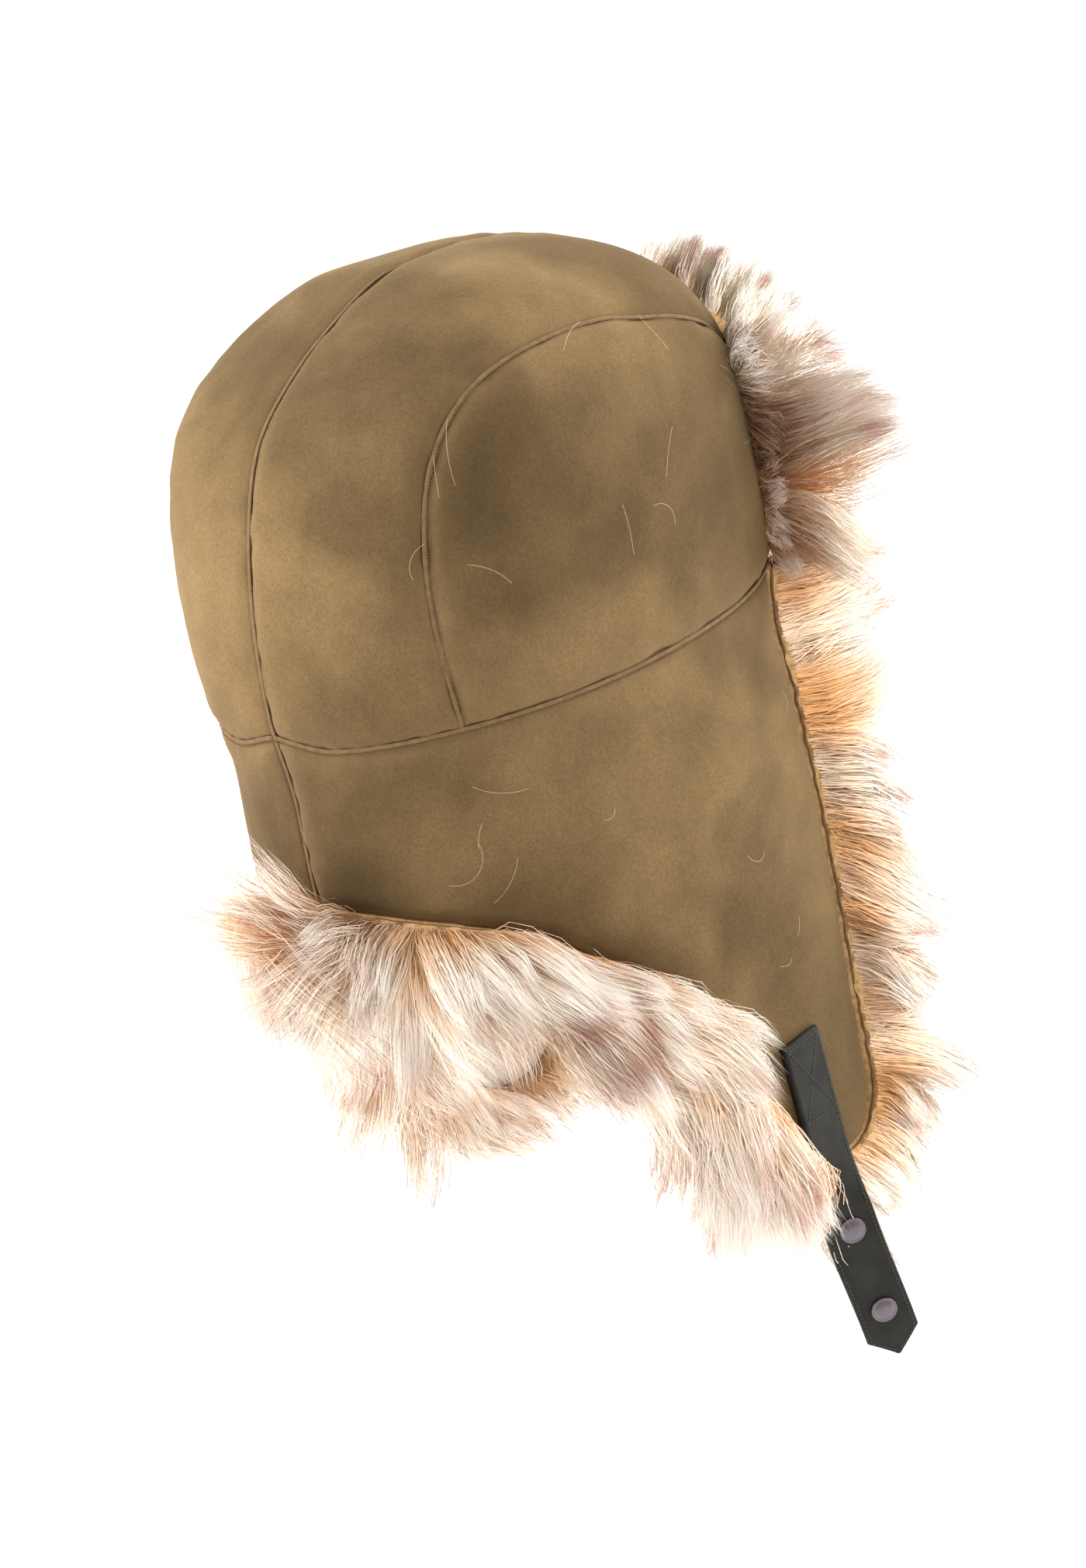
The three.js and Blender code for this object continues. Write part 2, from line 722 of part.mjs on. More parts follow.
const strapPlace = surfaceFrame(STRAP.turn, STRAP.topZ);
const strapSpace = strapSlab(STRAP_SPACE.front, -STRAP_SPACE.behind, STRAP_SPACE.beside);
strapSpace.applyMatrix4(strapPlace);
const trim = furTrim();
addPiece('front_flap', frontFlap(), FUR);
addPiece('fur_trim_right', largestBody(solidOf(trim).subtract(solidOf(strapSpace))), FUR);
addPiece('fur_trim_left', mirrored(trim), FUR);

const strapGroup = new THREE.Group();
strapGroup.applyMatrix4(strapPlace);
hat.add(strapGroup);
addPiece('chin_strap', strapGeometry(), STRAP_LEATHER, strapGroup);
for (const [place, fromTip] of Object.entries(SNAP_FROM_TIP)) {
  addPiece(`snap_cap_${place}`, snapGeometry(), GUNMETAL, strapGroup).applyMatrix4(snapFrame(fromTip));
}

const studGroup = new THREE.Group();
studGroup.applyMatrix4(surfaceFrame(-STUD.turn, STUD.z));
hat.add(studGroup);
addPiece('snap_stud_left', studGeometry(), GUNMETAL, studGroup).position.set(0, 0, STUD.seat);

hat.updateMatrixWorld(true);

export default hat;
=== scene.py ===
"""A shearling hat with ear flaps: suede panels, long fur trim, chin strap and snaps.

Shape tables are in millimetres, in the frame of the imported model: +Z up, -Y to the wearer's face and -X to
the wearer's right. "turn" is the angle in degrees round the head, from the centre back towards the wearer's
right. Meshes are written in metres.
"""
import logging
import math
from dataclasses import dataclass, field, fields
from enum import Enum
from typing import Callable, Mapping, Sequence

import bpy
import numpy as np
from bpy.types import Material, NodeSocket, NodeTree
from mathutils import Matrix, Vector
from mathutils.kdtree import KDTree


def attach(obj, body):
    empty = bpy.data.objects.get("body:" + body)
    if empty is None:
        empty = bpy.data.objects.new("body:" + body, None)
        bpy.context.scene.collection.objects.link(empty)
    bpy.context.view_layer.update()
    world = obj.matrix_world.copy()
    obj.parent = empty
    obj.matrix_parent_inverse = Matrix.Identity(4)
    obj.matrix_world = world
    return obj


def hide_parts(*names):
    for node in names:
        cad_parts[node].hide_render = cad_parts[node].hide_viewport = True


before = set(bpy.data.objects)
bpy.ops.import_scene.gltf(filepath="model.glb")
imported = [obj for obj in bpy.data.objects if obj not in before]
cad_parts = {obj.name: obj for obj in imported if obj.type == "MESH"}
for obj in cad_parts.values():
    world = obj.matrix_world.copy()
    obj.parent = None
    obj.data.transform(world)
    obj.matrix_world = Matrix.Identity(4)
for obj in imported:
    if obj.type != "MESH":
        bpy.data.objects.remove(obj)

LOG = logging.getLogger("hat")
MM = 0.001
TAU = 2.0 * math.pi
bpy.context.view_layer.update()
UP = np.array([0.0, 0.0, 1.0])
TRIM_STRANDS_RIGHT = 52000
TRIM_STRANDS_LEFT = 20000
FLAP_STRANDS = 27000
FLAP_EDGE_STRANDS = 7000
WOOL_STRANDS = 4000

Array = np.ndarray


# Small helpers


def linear_colour(code: str) -> tuple[float, float, float, float]:
    """Turns an sRGB hex colour into linear RGBA.

    Args:
        code: The colour as "#rrggbb".

    Returns:
        Red, green, blue and alpha, linear.
    """
    parts = [int(code[i:i + 2], 16) / 255.0 for i in (1, 3, 5)]
    linear = [p / 12.92 if p <= 0.04045 else ((p + 0.055) / 1.055) ** 2.4 for p in parts]
    return (linear[0], linear[1], linear[2], 1.0)


def unit(vectors: Array) -> Array:
    """Scales vectors to length one.

    Args:
        vectors: An array whose last axis holds x, y and z.

    Returns:
        The unit vectors.
    """
    return vectors / np.maximum(np.linalg.norm(vectors, axis=-1, keepdims=True), 1e-9)


def smoothstep(low: float, high: float, value: Array) -> Array:
    """A soft step from 0 to 1.

    Args:
        low: Where the step begins.
        high: Where the step ends.
        value: The numbers to step.

    Returns:
        Numbers from 0 to 1.
    """
    t = np.clip((value - low) / (high - low), 0.0, 1.0)
    return t * t * (3.0 - 2.0 * t)


def catmull_rom(a: Array, b: Array, c: Array, d: Array, t: Array) -> Array:
    """The Catmull-Rom curve between b and c.

    Args:
        a: The value before b.
        b: The value at the start.
        c: The value at the end.
        d: The value after c.
        t: The place between b and c, from 0 to 1.

    Returns:
        The values on the curve.
    """
    slope = c - a
    bend = 2 * a - 5 * b + 4 * c - d
    turn_over = 3 * b - a - 3 * c + d
    return 0.5 * (2 * b + slope * t + bend * t**2 + turn_over * t**3)


def table_value(rows: Sequence[object], key: str, name: str, value: Array) -> Array:
    """Reads a column of a table smoothly between its rows.

    Args:
        rows: The table's rows, in rising order of key.
        key: The column that is looked up.
        name: The column that is read.
        value: Where to read, in the units of key.

    Returns:
        The column's values.
    """
    value = np.asarray(value, dtype=float)
    keys = np.array([getattr(row, key) for row in rows], dtype=float)
    values = np.array([getattr(row, name) for row in rows], dtype=float)
    last = len(rows) - 1
    index = np.clip(np.searchsorted(keys, value, side="right") - 1, 0, last - 1)
    t = np.clip((value - keys[index]) / (keys[index + 1] - keys[index]), 0.0, 1.0)
    before = values[np.maximum(index - 1, 0)]
    after = values[np.minimum(index + 2, last)]
    return catmull_rom(before, values[index], values[index + 1], after, t)


def resample(points: Array, steps: int) -> Array:
    """Spaces points evenly along a polyline.

    Args:
        points: The polyline.
        steps: How many equal steps to make.

    Returns:
        steps + 1 points.
    """
    lengths = np.concatenate([[0.0], np.cumsum(np.linalg.norm(np.diff(points, axis=0), axis=1))])
    places = np.linspace(0.0, lengths[-1], steps + 1)
    return np.stack([np.interp(places, lengths, points[:, k]) for k in range(3)], axis=1)


def polyline_length(points: Array) -> float:
    """The length of a polyline.

    Args:
        points: The polyline.

    Returns:
        Its length.
    """
    return float(np.linalg.norm(np.diff(points, axis=0), axis=1).sum())


def mirrored(points: Array) -> Array:
    """Mirrors points to the wearer's other side.

    Args:
        points: An array whose last axis holds x, y and z.

    Returns:
        The mirrored copy.
    """
    return points * np.array([-1.0, 1.0, 1.0])


class Wobble:
    """Smooth seeded noise, a sum of sine waves in random directions."""

    def __init__(self, seed: int, wavelength: float, waves: int = 10) -> None:
        """Draws the waves.

        Args:
            seed: The seed of this noise.
            wavelength: The middle wavelength, in the units of the points.
            waves: How many waves are added.
        """
        rng = np.random.default_rng(seed)
        self.directions = unit(rng.normal(size=(waves, 3))) * TAU / wavelength
        self.directions *= rng.uniform(0.6, 1.5, size=(waves, 1))
        self.phases = rng.uniform(0.0, TAU, size=waves)

    def __call__(self, points: Array) -> Array:
        """The noise at points.

        Args:
            points: Where to read it.

        Returns:
            Values of about -1 to 1.
        """
        waves = np.sin(points @ self.directions.T + self.phases)
        return waves.sum(axis=-1) / math.sqrt(len(self.phases))


# Shape tables


@dataclass(frozen=True)
class Ring:
    """A level ring of the hat's outer surface."""

    z: float
    back: float
    front: float
    half: float
    square: float


@dataclass(frozen=True)
class Dent:
    """A soft dent in the crown."""

    x: float
    y: float
    z: float
    radius: float
    depth: float


@dataclass(frozen=True)
class EdgePoint:
    """A point of an edge or seam, by its turn round the head and its height."""

    turn: float
    z: float


@dataclass(frozen=True)
class SeamPoint:
    """A point near the surface that a seam runs through."""

    x: float
    y: float
    z: float


@dataclass(frozen=True)
class TrimPlace:
    """A place on the section of the fur trim's backing roll."""

    out: float
    lift: float
    reach: float


@dataclass(frozen=True)
class TrimFlow:
    """How the fur lies at a part of the hem, from the centre back (0) to the top of the flap's front (1)."""

    part: float
    upper: float
    lower: float
    comb: float
    over: float
    flat: float
    tone: float
    tip: float


@dataclass(frozen=True)
class StrapPoint:
    """A station of the chin strap's route."""

    along: float
    forward: float
    lift: float
    twist: float


RINGS = (
    Ring(z=-330, back=112, front=115, half=98, square=2.1),
    Ring(z=-204, back=112, front=115, half=98, square=2.1),
    Ring(z=-129, back=112, front=115, half=97, square=2.1),
    Ring(z=-56, back=110.5, front=115, half=94, square=2.05),
    Ring(z=-20, back=108.3, front=115.5, half=90.5, square=2.05),
    Ring(z=11, back=110, front=118, half=93, square=2.15),
    Ring(z=47, back=105.5, front=116, half=94, square=2.3),
    Ring(z=80, back=96, front=112, half=90, square=2.5),
    Ring(z=105, back=82, front=101, half=84, square=2.5),
    Ring(z=123, back=57.5, front=83, half=70, square=2.45),
    Ring(z=135, back=31.5, front=59, half=50.5, square=2.35),
    Ring(z=141, back=14, front=32, half=33, square=2.2),
    Ring(z=142.5, back=0, front=0, half=0, square=2.2),
)

DENTS = (
    Dent(x=-76, y=-40, z=108, radius=17, depth=3.5),
    Dent(x=-48, y=-32, z=134, radius=22, depth=2.5),
    Dent(x=50, y=-36, z=132, radius=24, depth=2.5),
)

LEVEL_SEAM = (
    EdgePoint(turn=0, z=3.5),
    EdgePoint(turn=13, z=-1.5),
    EdgePoint(turn=40, z=-1),
    EdgePoint(turn=95, z=-1.5),
    EdgePoint(turn=140, z=-1),
    EdgePoint(turn=180, z=6),
)
ARCH_START_TURN = 39.5
ARCH_END_TURN = 152.0

ARCH = (
    SeamPoint(x=-66, y=79.5, z=-1),
    SeamPoint(x=-67, y=81.4, z=35.2),
    SeamPoint(x=-67.6, y=77.6, z=66),
    SeamPoint(x=-68.7, y=66.6, z=92.3),
    SeamPoint(x=-71, y=44, z=111.3),
    SeamPoint(x=-75, y=9, z=118),
    SeamPoint(x=-76, y=-28, z=115),
    SeamPoint(x=-74, y=-63, z=102),
    SeamPoint(x=-62, y=-90, z=82),
    SeamPoint(x=-57, y=-102, z=48),
    SeamPoint(x=-55, y=-104, z=1),
)

HEM = (
    EdgePoint(turn=0, z=-61),
    EdgePoint(turn=17, z=-65),
    EdgePoint(turn=32, z=-72),
    EdgePoint(turn=46, z=-83),
    EdgePoint(turn=60, z=-106),
    EdgePoint(turn=70, z=-126),
    EdgePoint(turn=78, z=-153),
    EdgePoint(turn=87, z=-182),
    EdgePoint(turn=96, z=-203),
    EdgePoint(turn=105, z=-212),
    EdgePoint(turn=115, z=-210),
    EdgePoint(turn=122, z=-199),
)

FLAP_FRONT = (
    EdgePoint(turn=140, z=-1),
    EdgePoint(turn=136.7, z=-48),
    EdgePoint(turn=132.4, z=-87),
    EdgePoint(turn=128, z=-123),
    EdgePoint(turn=124, z=-160),
    EdgePoint(turn=122, z=-199),
)

TRIM_SECTION = (
    TrimPlace(out=0.4, lift=2.5, reach=20),
    TrimPlace(out=3, lift=5, reach=26),
    TrimPlace(out=8, lift=5.5, reach=31),
    TrimPlace(out=12, lift=2.5, reach=35),
    TrimPlace(out=13.5, lift=-2, reach=36),
    TrimPlace(out=12, lift=-7.5, reach=34),
    TrimPlace(out=9, lift=-11.5, reach=28),
    TrimPlace(out=4, lift=-12.5, reach=24),
    TrimPlace(out=0.4, lift=-11, reach=20),
)

TRIM_FLOW = (
    TrimFlow(part=0, upper=2.24, lower=1.9, comb=-0.2, over=0.8, flat=0, tone=1, tip=0.55),
    TrimFlow(part=0.04, upper=2.15, lower=2.0, comb=-0.1, over=0.6, flat=0, tone=1, tip=0.4),
    TrimFlow(part=0.09, upper=1.7, lower=1.8, comb=0.4, over=0.1, flat=0.4, tone=1, tip=0.35),
    TrimFlow(part=0.14, upper=1.55, lower=1.6, comb=0.9, over=0.75, flat=0.4, tone=1, tip=0.7),
    TrimFlow(part=0.19, upper=1.4, lower=1.55, comb=1.2, over=0.55, flat=0.6, tone=1, tip=1),
    TrimFlow(part=0.26, upper=1.4, lower=1.45, comb=1.4, over=0.65, flat=0.5, tone=1, tip=1),
    TrimFlow(part=0.34, upper=1.5, lower=1.65, comb=1.4, over=0.3, flat=0.8, tone=1, tip=1.6),
    TrimFlow(part=0.44, upper=1.45, lower=1.5, comb=1.0, over=0, flat=0.9, tone=0.9, tip=1),
    TrimFlow(part=0.52, upper=1.35, lower=1.25, comb=0.4, over=0, flat=0.9, tone=0.8, tip=0.3),
    TrimFlow(part=0.57, upper=1.35, lower=1.3, comb=-0.1, over=0, flat=0.8, tone=1, tip=0.6),
    TrimFlow(part=0.62, upper=1.45, lower=1.55, comb=-0.5, over=0, flat=0.6, tone=1, tip=0.8),
    TrimFlow(part=0.68, upper=1.3, lower=1.4, comb=-0.8, over=0, flat=0.45, tone=1, tip=0.9),
    TrimFlow(part=0.78, upper=1.75, lower=1.8, comb=-0.8, over=0, flat=0.35, tone=1, tip=1),
    TrimFlow(part=0.88, upper=1.9, lower=1.9, comb=-0.3, over=0, flat=0.35, tone=1, tip=1.2),
    TrimFlow(part=1, upper=2.3, lower=2.3, comb=0.4, over=0, flat=0.4, tone=1, tip=1.2),
)

STRAP_ROUTE = (
    StrapPoint(along=0, forward=0, lift=1.9, twist=0),
    StrapPoint(along=34, forward=1, lift=1.9, twist=0),
    StrapPoint(along=50, forward=-1.2, lift=4, twist=4),
    StrapPoint(along=71, forward=-3.4, lift=7.3, twist=34),
    StrapPoint(along=134, forward=6, lift=8, twist=36),
)


class HatForm:
    """The hat's smooth outer surface: level superellipse rings, joined by Catmull-Rom curves."""

    COLUMNS = ("z", "back", "front", "half", "square")
    BISECTIONS = 26
    SPAN_STEPS = 20

    def __init__(self, rings: Sequence[Ring], dents: Sequence[Dent]) -> None:
        """Keeps the rings and dents.

        Args:
            rings: The rings, from the lowest to the apex.
            dents: The dents.
        """
        table = np.array([[getattr(ring, name) for name in self.COLUMNS] for ring in rings])
        past_apex = table[-2] * np.array([1.0, -1.0, -1.0, -1.0, 1.0])
        self.table = np.vstack([table[0], table, past_apex])
        self.last = len(rings) - 1
        self.dents = dents
        self.seam_row = float(self.row_at(np.array([0.0]))[0])

    def value(self, name: str, row: Array) -> Array:
        """A column of the rings, smooth between them.

        Args:
            name: The column.
            row: The place in the list of rings.

        Returns:
            The column's values.
        """
        column = self.table[:, self.COLUMNS.index(name)]
        index = np.clip(np.floor(row).astype(int), 0, self.last - 1)
        around = (column[index], column[index + 1], column[index + 2], column[index + 3])
        return catmull_rom(*around, row - index)

    def reach(self, turn: Array, row: Array) -> Array:
        """How far the surface is from the upright axis.

        Args:
            turn: The turn, in radians.
            row: The place in the list of rings.

        Returns:
            The distances.
        """
        along = np.cos(turn)
        length = np.where(along > 0, self.value("back", row), self.value("front", row))
        half = np.maximum(self.value("half", row), 1e-6)
        power = self.value("square", row)
        total = np.abs(along / np.maximum(length, 1e-6)) ** power + np.abs(np.sin(turn) / half) ** power
        return total ** (-1.0 / power)

    def bisect(self, low: Array, high: Array, is_below: Callable[[Array], Array]) -> Array:
        """Finds the row where a rising quantity passes its target.

        Args:
            low: The lowest rows.
            high: The highest rows.
            is_below: Tells which trial rows lie below the target.

        Returns:
            The rows.
        """
        for _ in range(self.BISECTIONS):
            middle = (low + high) / 2
            below = is_below(middle)
            low = np.where(below, middle, low)
            high = np.where(below, high, middle)
        return (low + high) / 2

    def row_at(self, z: Array) -> Array:
        """The row at a height.

        Args:
            z: The heights.

        Returns:
            The rows.
        """
        low = np.zeros_like(z)
        return self.bisect(low, low + self.last, lambda row: self.value("z", row) < z)

    def ring_point(self, turn: Array, row: Array) -> Array:
        """The surface point at a turn and row.

        Args:
            turn: The turn, in radians.
            row: The row.

        Returns:
            The points.
        """
        reach = self.reach(turn, row)
        return np.stack([-reach * np.sin(turn), reach * np.cos(turn), self.value("z", row)], axis=-1)

    def at_turn(self, degrees: Array, z: Array) -> Array:
        """The surface point at a turn in degrees and a height.

        Args:
            degrees: The turn.
            z: The height.

        Returns:
            The points.
        """
        degrees, z = np.broadcast_arrays(np.asarray(degrees, float), np.asarray(z, float))
        return self.ring_point(np.radians(degrees), self.row_at(z))

    def onto(self, points: Array) -> Array:
        """Moves points onto the surface, level below the seam and from the origin above it.

        Args:
            points: Points near the surface.

        Returns:
            Points on it.
        """
        flat = points.reshape(-1, 3)
        turn = np.arctan2(-flat[:, 0], flat[:, 1])
        lower = self.row_at(np.minimum(flat[:, 2], 0.0))
        rise = np.arctan2(flat[:, 2], np.hypot(flat[:, 0], flat[:, 1]))
        start = np.full(len(flat), self.seam_row)
        upper = self.bisect(
            start,
            np.full(len(flat), float(self.last)),
            lambda row: np.arctan2(self.value("z", row), self.reach(turn, row)) < rise,
        )
        row = np.where(flat[:, 2] <= 0, lower, upper)
        return self.ring_point(turn, row).reshape(points.shape)

    def normal(self, points: Array) -> Array:
        """The outward unit normal at points of the surface.

        Args:
            points: Points on the surface.

        Returns:
            The normals.
        """
        level = points * np.array([1.0, 1.0, 0.0])
        outward = unit(np.where(points[..., 2:3] <= 0, level, points))
        upright = np.broadcast_to(UP, points.shape)
        along = np.broadcast_to(np.array([0.0, 1.0, 0.0]), points.shape)
        side = np.where(np.abs(outward[..., 2:3]) > 0.9, along, upright)
        first = unit(np.cross(side, outward))
        second = np.cross(outward, first)
        across = [self.onto(points + axis) - self.onto(points - axis) for axis in (first, second)]
        return unit(np.cross(across[0], across[1]))

    def over(self, points: Array, height: Array) -> Array:
        """Points at a height over the surface, with the dents pressed in.

        Args:
            points: Points near the surface.
            height: The height over the suede.

        Returns:
            The raised points.
        """
        base = self.onto(points)
        normal = self.normal(base)
        lift = np.zeros(base.shape[:-1]) + height
        for dent in self.dents:
            away = np.linalg.norm(base - np.array([dent.x, dent.y, dent.z]), axis=-1)
            lift = lift - dent.depth * np.exp(-((away / dent.radius) ** 2))
        return base + normal * lift[..., None]

    def smooth(self, points: Array, steps: int) -> Array:
        """A smooth curve through points, moved onto the surface.

        Args:
            points: What the curve runs through.
            steps: How many equal steps it gets.

        Returns:
            The curve's points.
        """
        ends = np.vstack([2 * points[0] - points[1], points, 2 * points[-1] - points[-2]])
        parts = [self.centripetal(ends[k:k + 4], self.SPAN_STEPS) for k in range(len(points) - 1)]
        fine = np.vstack([*parts, points[-1:]])
        return resample(self.onto(fine), steps)

    @staticmethod
    def centripetal(four: Array, steps: int) -> Array:
        """The middle span of a centripetal Catmull-Rom curve through four points.

        Args:
            four: The points.
            steps: How many points the span gets, without its end.

        Returns:
            The span's points.
        """
        knots = np.concatenate([[0.0], np.cumsum(np.linalg.norm(np.diff(four, axis=0), axis=1) ** 0.5)])
        t = np.linspace(knots[1], knots[2], steps, endpoint=False)[:, None]

        def between(a: Array, b: Array, low: int, high: int) -> Array:
            """Interpolates from a to b between two knots."""
            return (a * (knots[high] - t) + b * (t - knots[low])) / (knots[high] - knots[low])

        first = [between(four[m], four[m + 1], m, m + 1) for m in range(3)]
        second = [between(first[m], first[m + 1], m, m + 2) for m in range(2)]
        return between(second[0], second[1], 1, 2)


# Meshes


@dataclass
class MeshData:
    """Points in millimetres, faces and what rides on them."""

    points: Array
    faces: list[Array]
    attributes: dict[str, Array] = field(default_factory=dict)
    maps: dict[str, Array] = field(default_factory=dict)
    slots: list[int] = field(default_factory=list)
    normals: Array | None = None

    @staticmethod
    def joined(parts: Sequence["MeshData"]) -> "MeshData":
        """Joins meshes into one.

        Args:
            parts: The meshes, all with the same attributes and maps.

        Returns:
            The joined mesh.
        """
        offset = 0
        faces: list[Array] = []
        slots: list[int] = []
        for part in parts:
            faces += [group + offset for group in part.faces]
            slots += part.slots or [0] * len(part.faces)
            offset += len(part.points)
        names = parts[0].attributes.keys()
        maps = parts[0].maps.keys()
        return MeshData(
            np.concatenate([part.points for part in parts]),
            faces,
            {name: np.concatenate([part.attributes[name] for part in parts]) for name in names},
            {name: np.concatenate([part.maps[name] for part in parts]) for name in maps},
            slots,
        )

    def mirrored(self) -> "MeshData":
        """The mirror image on the wearer's other side.

        Returns:
            The mirrored mesh, still facing outwards.
        """
        faces = [group[:, ::-1] for group in self.faces]
        normals = None if self.normals is None else mirrored(self.normals)
        return MeshData(mirrored(self.points), faces, self.attributes, self.maps, self.slots, normals)


class Side(Enum):
    """The wearer's sides. Pieces are built on the right and mirrored to the left."""

    RIGHT = "right"
    LEFT = "left"

    def turned(self, data: MeshData) -> MeshData:
        """A mesh of the right side as it is on this side.

        Args:
            data: The mesh on the right.

        Returns:
            The mesh on this side.
        """
        return data if self is Side.RIGHT else data.mirrored()


def make_object(name: str, data: MeshData, materials: Sequence[Material]) -> bpy.types.Object:
    """Makes a smooth-shaded mesh object in the row frame.

    Args:
        name: The object's name.
        data: Its mesh.
        materials: Its material slots.

    Returns:
        The object.
    """
    mesh = bpy.data.meshes.new(name)
    mesh.vertices.add(len(data.points))
    mesh.vertices.foreach_set("co", (data.points * MM).astype(np.float32).ravel())
    corners = np.concatenate([group.ravel() for group in data.faces]).astype(np.int32)
    sizes = np.concatenate([np.full(len(group), group.shape[1]) for group in data.faces])
    starts = np.concatenate([[0], np.cumsum(sizes)[:-1]]).astype(np.int32)
    mesh.loops.add(len(corners))
    mesh.loops.foreach_set("vertex_index", corners)
    mesh.polygons.add(len(starts))
    mesh.polygons.foreach_set("loop_start", starts)
    slots = data.slots or [0] * len(data.faces)
    index = np.concatenate([np.full(len(group), slot) for group, slot in zip(data.faces, slots)])
    for material in materials:
        mesh.materials.append(material)
    mesh.polygons.foreach_set("material_index", index.astype(np.int32))
    mesh.polygons.foreach_set("use_smooth", np.ones(len(starts), dtype=bool))
    mesh.update(calc_edges=True)
    for key, values in data.attributes.items():
        mesh.attributes.new(key, "FLOAT", "POINT").data.foreach_set("value", values.astype(np.float32))
    for key, values in data.maps.items():
        layer = mesh.uv_layers.new(name=key)
        layer.data.foreach_set("uv", values[corners].astype(np.float32).ravel())
    if data.normals is not None:
        mesh.normals_split_custom_set_from_vertices(data.normals)
    made = bpy.data.objects.new(name, mesh)
    bpy.context.scene.collection.objects.link(made)
    return made


def place_piece(made: bpy.types.Object, slot: str, *nodes: str) -> bpy.types.Object:
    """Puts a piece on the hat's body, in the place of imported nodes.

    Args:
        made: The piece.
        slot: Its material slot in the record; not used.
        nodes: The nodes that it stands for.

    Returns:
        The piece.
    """
    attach(made, "root")
    if nodes:
        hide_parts(*nodes)
    LOG.info("%s: %d faces", made.name, len(made.data.polygons))
    return made


def grid_faces(rows: int, columns: int, offset: int = 0) -> Array:
    """Quads of a grid of rows by columns points.

    Args:
        rows: How many rows of points.
        columns: How many points in a row.
        offset: The first point's index.

    Returns:
        The quads.
    """
    j, i = np.meshgrid(np.arange(rows - 1), np.arange(columns - 1), indexing="ij")
    first = (j * columns + i + offset).ravel()
    return np.stack([first, first + 1, first + columns + 1, first + columns], axis=1)


def loop_faces(rings: int, around: int, offset: int = 0) -> Array:
    """Quads of rings of points that close round.

    Args:
        rings: How many rings.
        around: How many points in a ring.
        offset: The first point's index.

    Returns:
        The quads.
    """
    j, i = np.meshgrid(np.arange(rings - 1), np.arange(around), indexing="ij")
    here = (j * around + i + offset).ravel()
    beside = (j * around + (i + 1) % around + offset).ravel()
    return np.stack([here, beside, beside + around, here + around], axis=1)


def tube(rings: Array) -> MeshData:
    """A tube through rings of points, with closed ends.

    Args:
        rings: The points of each ring, in a row for each.

    Returns:
        The mesh.
    """
    count, around = rings.shape[:2]
    first = np.arange(around)[None]
    caps = [first[:, ::-1], first + (count - 1) * around]
    return MeshData(rings.reshape(-1, 3), [loop_faces(count, around), *caps])


def border_indices(rows: int, columns: int) -> Array:
    """The indices round a grid's border.

    Args:
        rows: How many rows of points.
        columns: How many points in a row.

    Returns:
        The indices, anticlockwise.
    """
    index = np.arange(rows * columns).reshape(rows, columns)
    return np.concatenate([index[0, :-1], index[:-1, -1], index[-1, :0:-1], index[:0:-1, 0]])


def slab(outer: Array, inner: Array) -> MeshData:
    """A closed slab between two grids of points: its outer face, its inner face and its edges.

    Args:
        outer: Rows of points of the outer face.
        inner: The same rows on the inner face.

    Returns:
        The mesh, facing outwards.
    """
    rows, columns = outer.shape[:2]
    count = rows * columns
    points = np.vstack([outer.reshape(-1, 3), inner.reshape(-1, 3)])
    ring = border_indices(rows, columns)
    beside = np.roll(ring, -1)
    wall = np.stack([ring, ring + count, beside + count, beside], axis=1)
    faces = [grid_faces(rows, columns), grid_faces(rows, columns, count)[:, ::-1], wall]
    a, b, c, d = (points[faces[0][:, k]] for k in range(4))
    if (np.cross(c - a, d - b) * (a + c)).sum() <= 0:
        faces = [group[:, ::-1] for group in faces]
    return MeshData(points, faces)


def stitch_boxes(
    middle: Array, along: Array, across: Array, up: Array, size: tuple[float, float, float], narrow: float
) -> MeshData:
    """Stitches as small boxes, narrower on top and open where they enter the leather.

    Args:
        middle: The middle of each stitch.
        along: The direction of each stitch.
        across: The direction across each stitch.
        up: The direction out of the leather.
        size: Length, width and height.
        narrow: The share of the size that is left on top.

    Returns:
        Their mesh.
    """
    long, wide, high = size
    corners = []
    for lift, scale in ((-0.6, 1.0), (1.0, narrow)):
        for a, b in ((-1, -1), (1, -1), (1, 1), (-1, 1)):
            spot = middle + along * (a * long / 2 * scale) + across * (b * wide / 2 * scale)
            corners.append(spot + up * (lift * high))
    points = np.stack(corners, axis=1).reshape(-1, 3)
    box = np.array([[4, 5, 6, 7], [0, 1, 5, 4], [1, 2, 6, 5], [2, 3, 7, 6], [3, 0, 4, 7]])
    faces = (np.arange(len(middle))[:, None, None] * 8 + box).reshape(-1, 4)
    return MeshData(points, [faces])


def lathe(profile: Sequence[tuple[float, float]], place: Array, sides: int = 48) -> MeshData:
    """Turns a profile about the z axis of a placed frame.

    Args:
        profile: Radius and height of each point, from one pole to the other.
        place: A 4x4 matrix in millimetres.
        sides: How many sides the turned piece has.

    Returns:
        The mesh.
    """
    angle = np.arange(sides) * TAU / sides
    wheel = np.stack([np.cos(angle), np.sin(angle), np.zeros(sides)], axis=1)
    rings = [wheel * radius + UP * height for radius, height in profile[1:-1]]
    poles = np.array([UP * profile[0][1], UP * profile[-1][1]])
    points = np.vstack([*rings, poles])
    count = len(rings)
    side = np.arange(sides)
    beside = (side + 1) % sides
    bottom = np.full(sides, count * sides)
    last = (count - 1) * sides
    foot = np.stack([bottom, beside, side], axis=1)
    crown = np.stack([bottom + 1, side + last, beside + last], axis=1)
    return MeshData(points @ place[:3, :3].T + place[:3, 3], [loop_faces(count, sides), foot, crown])


# Materials


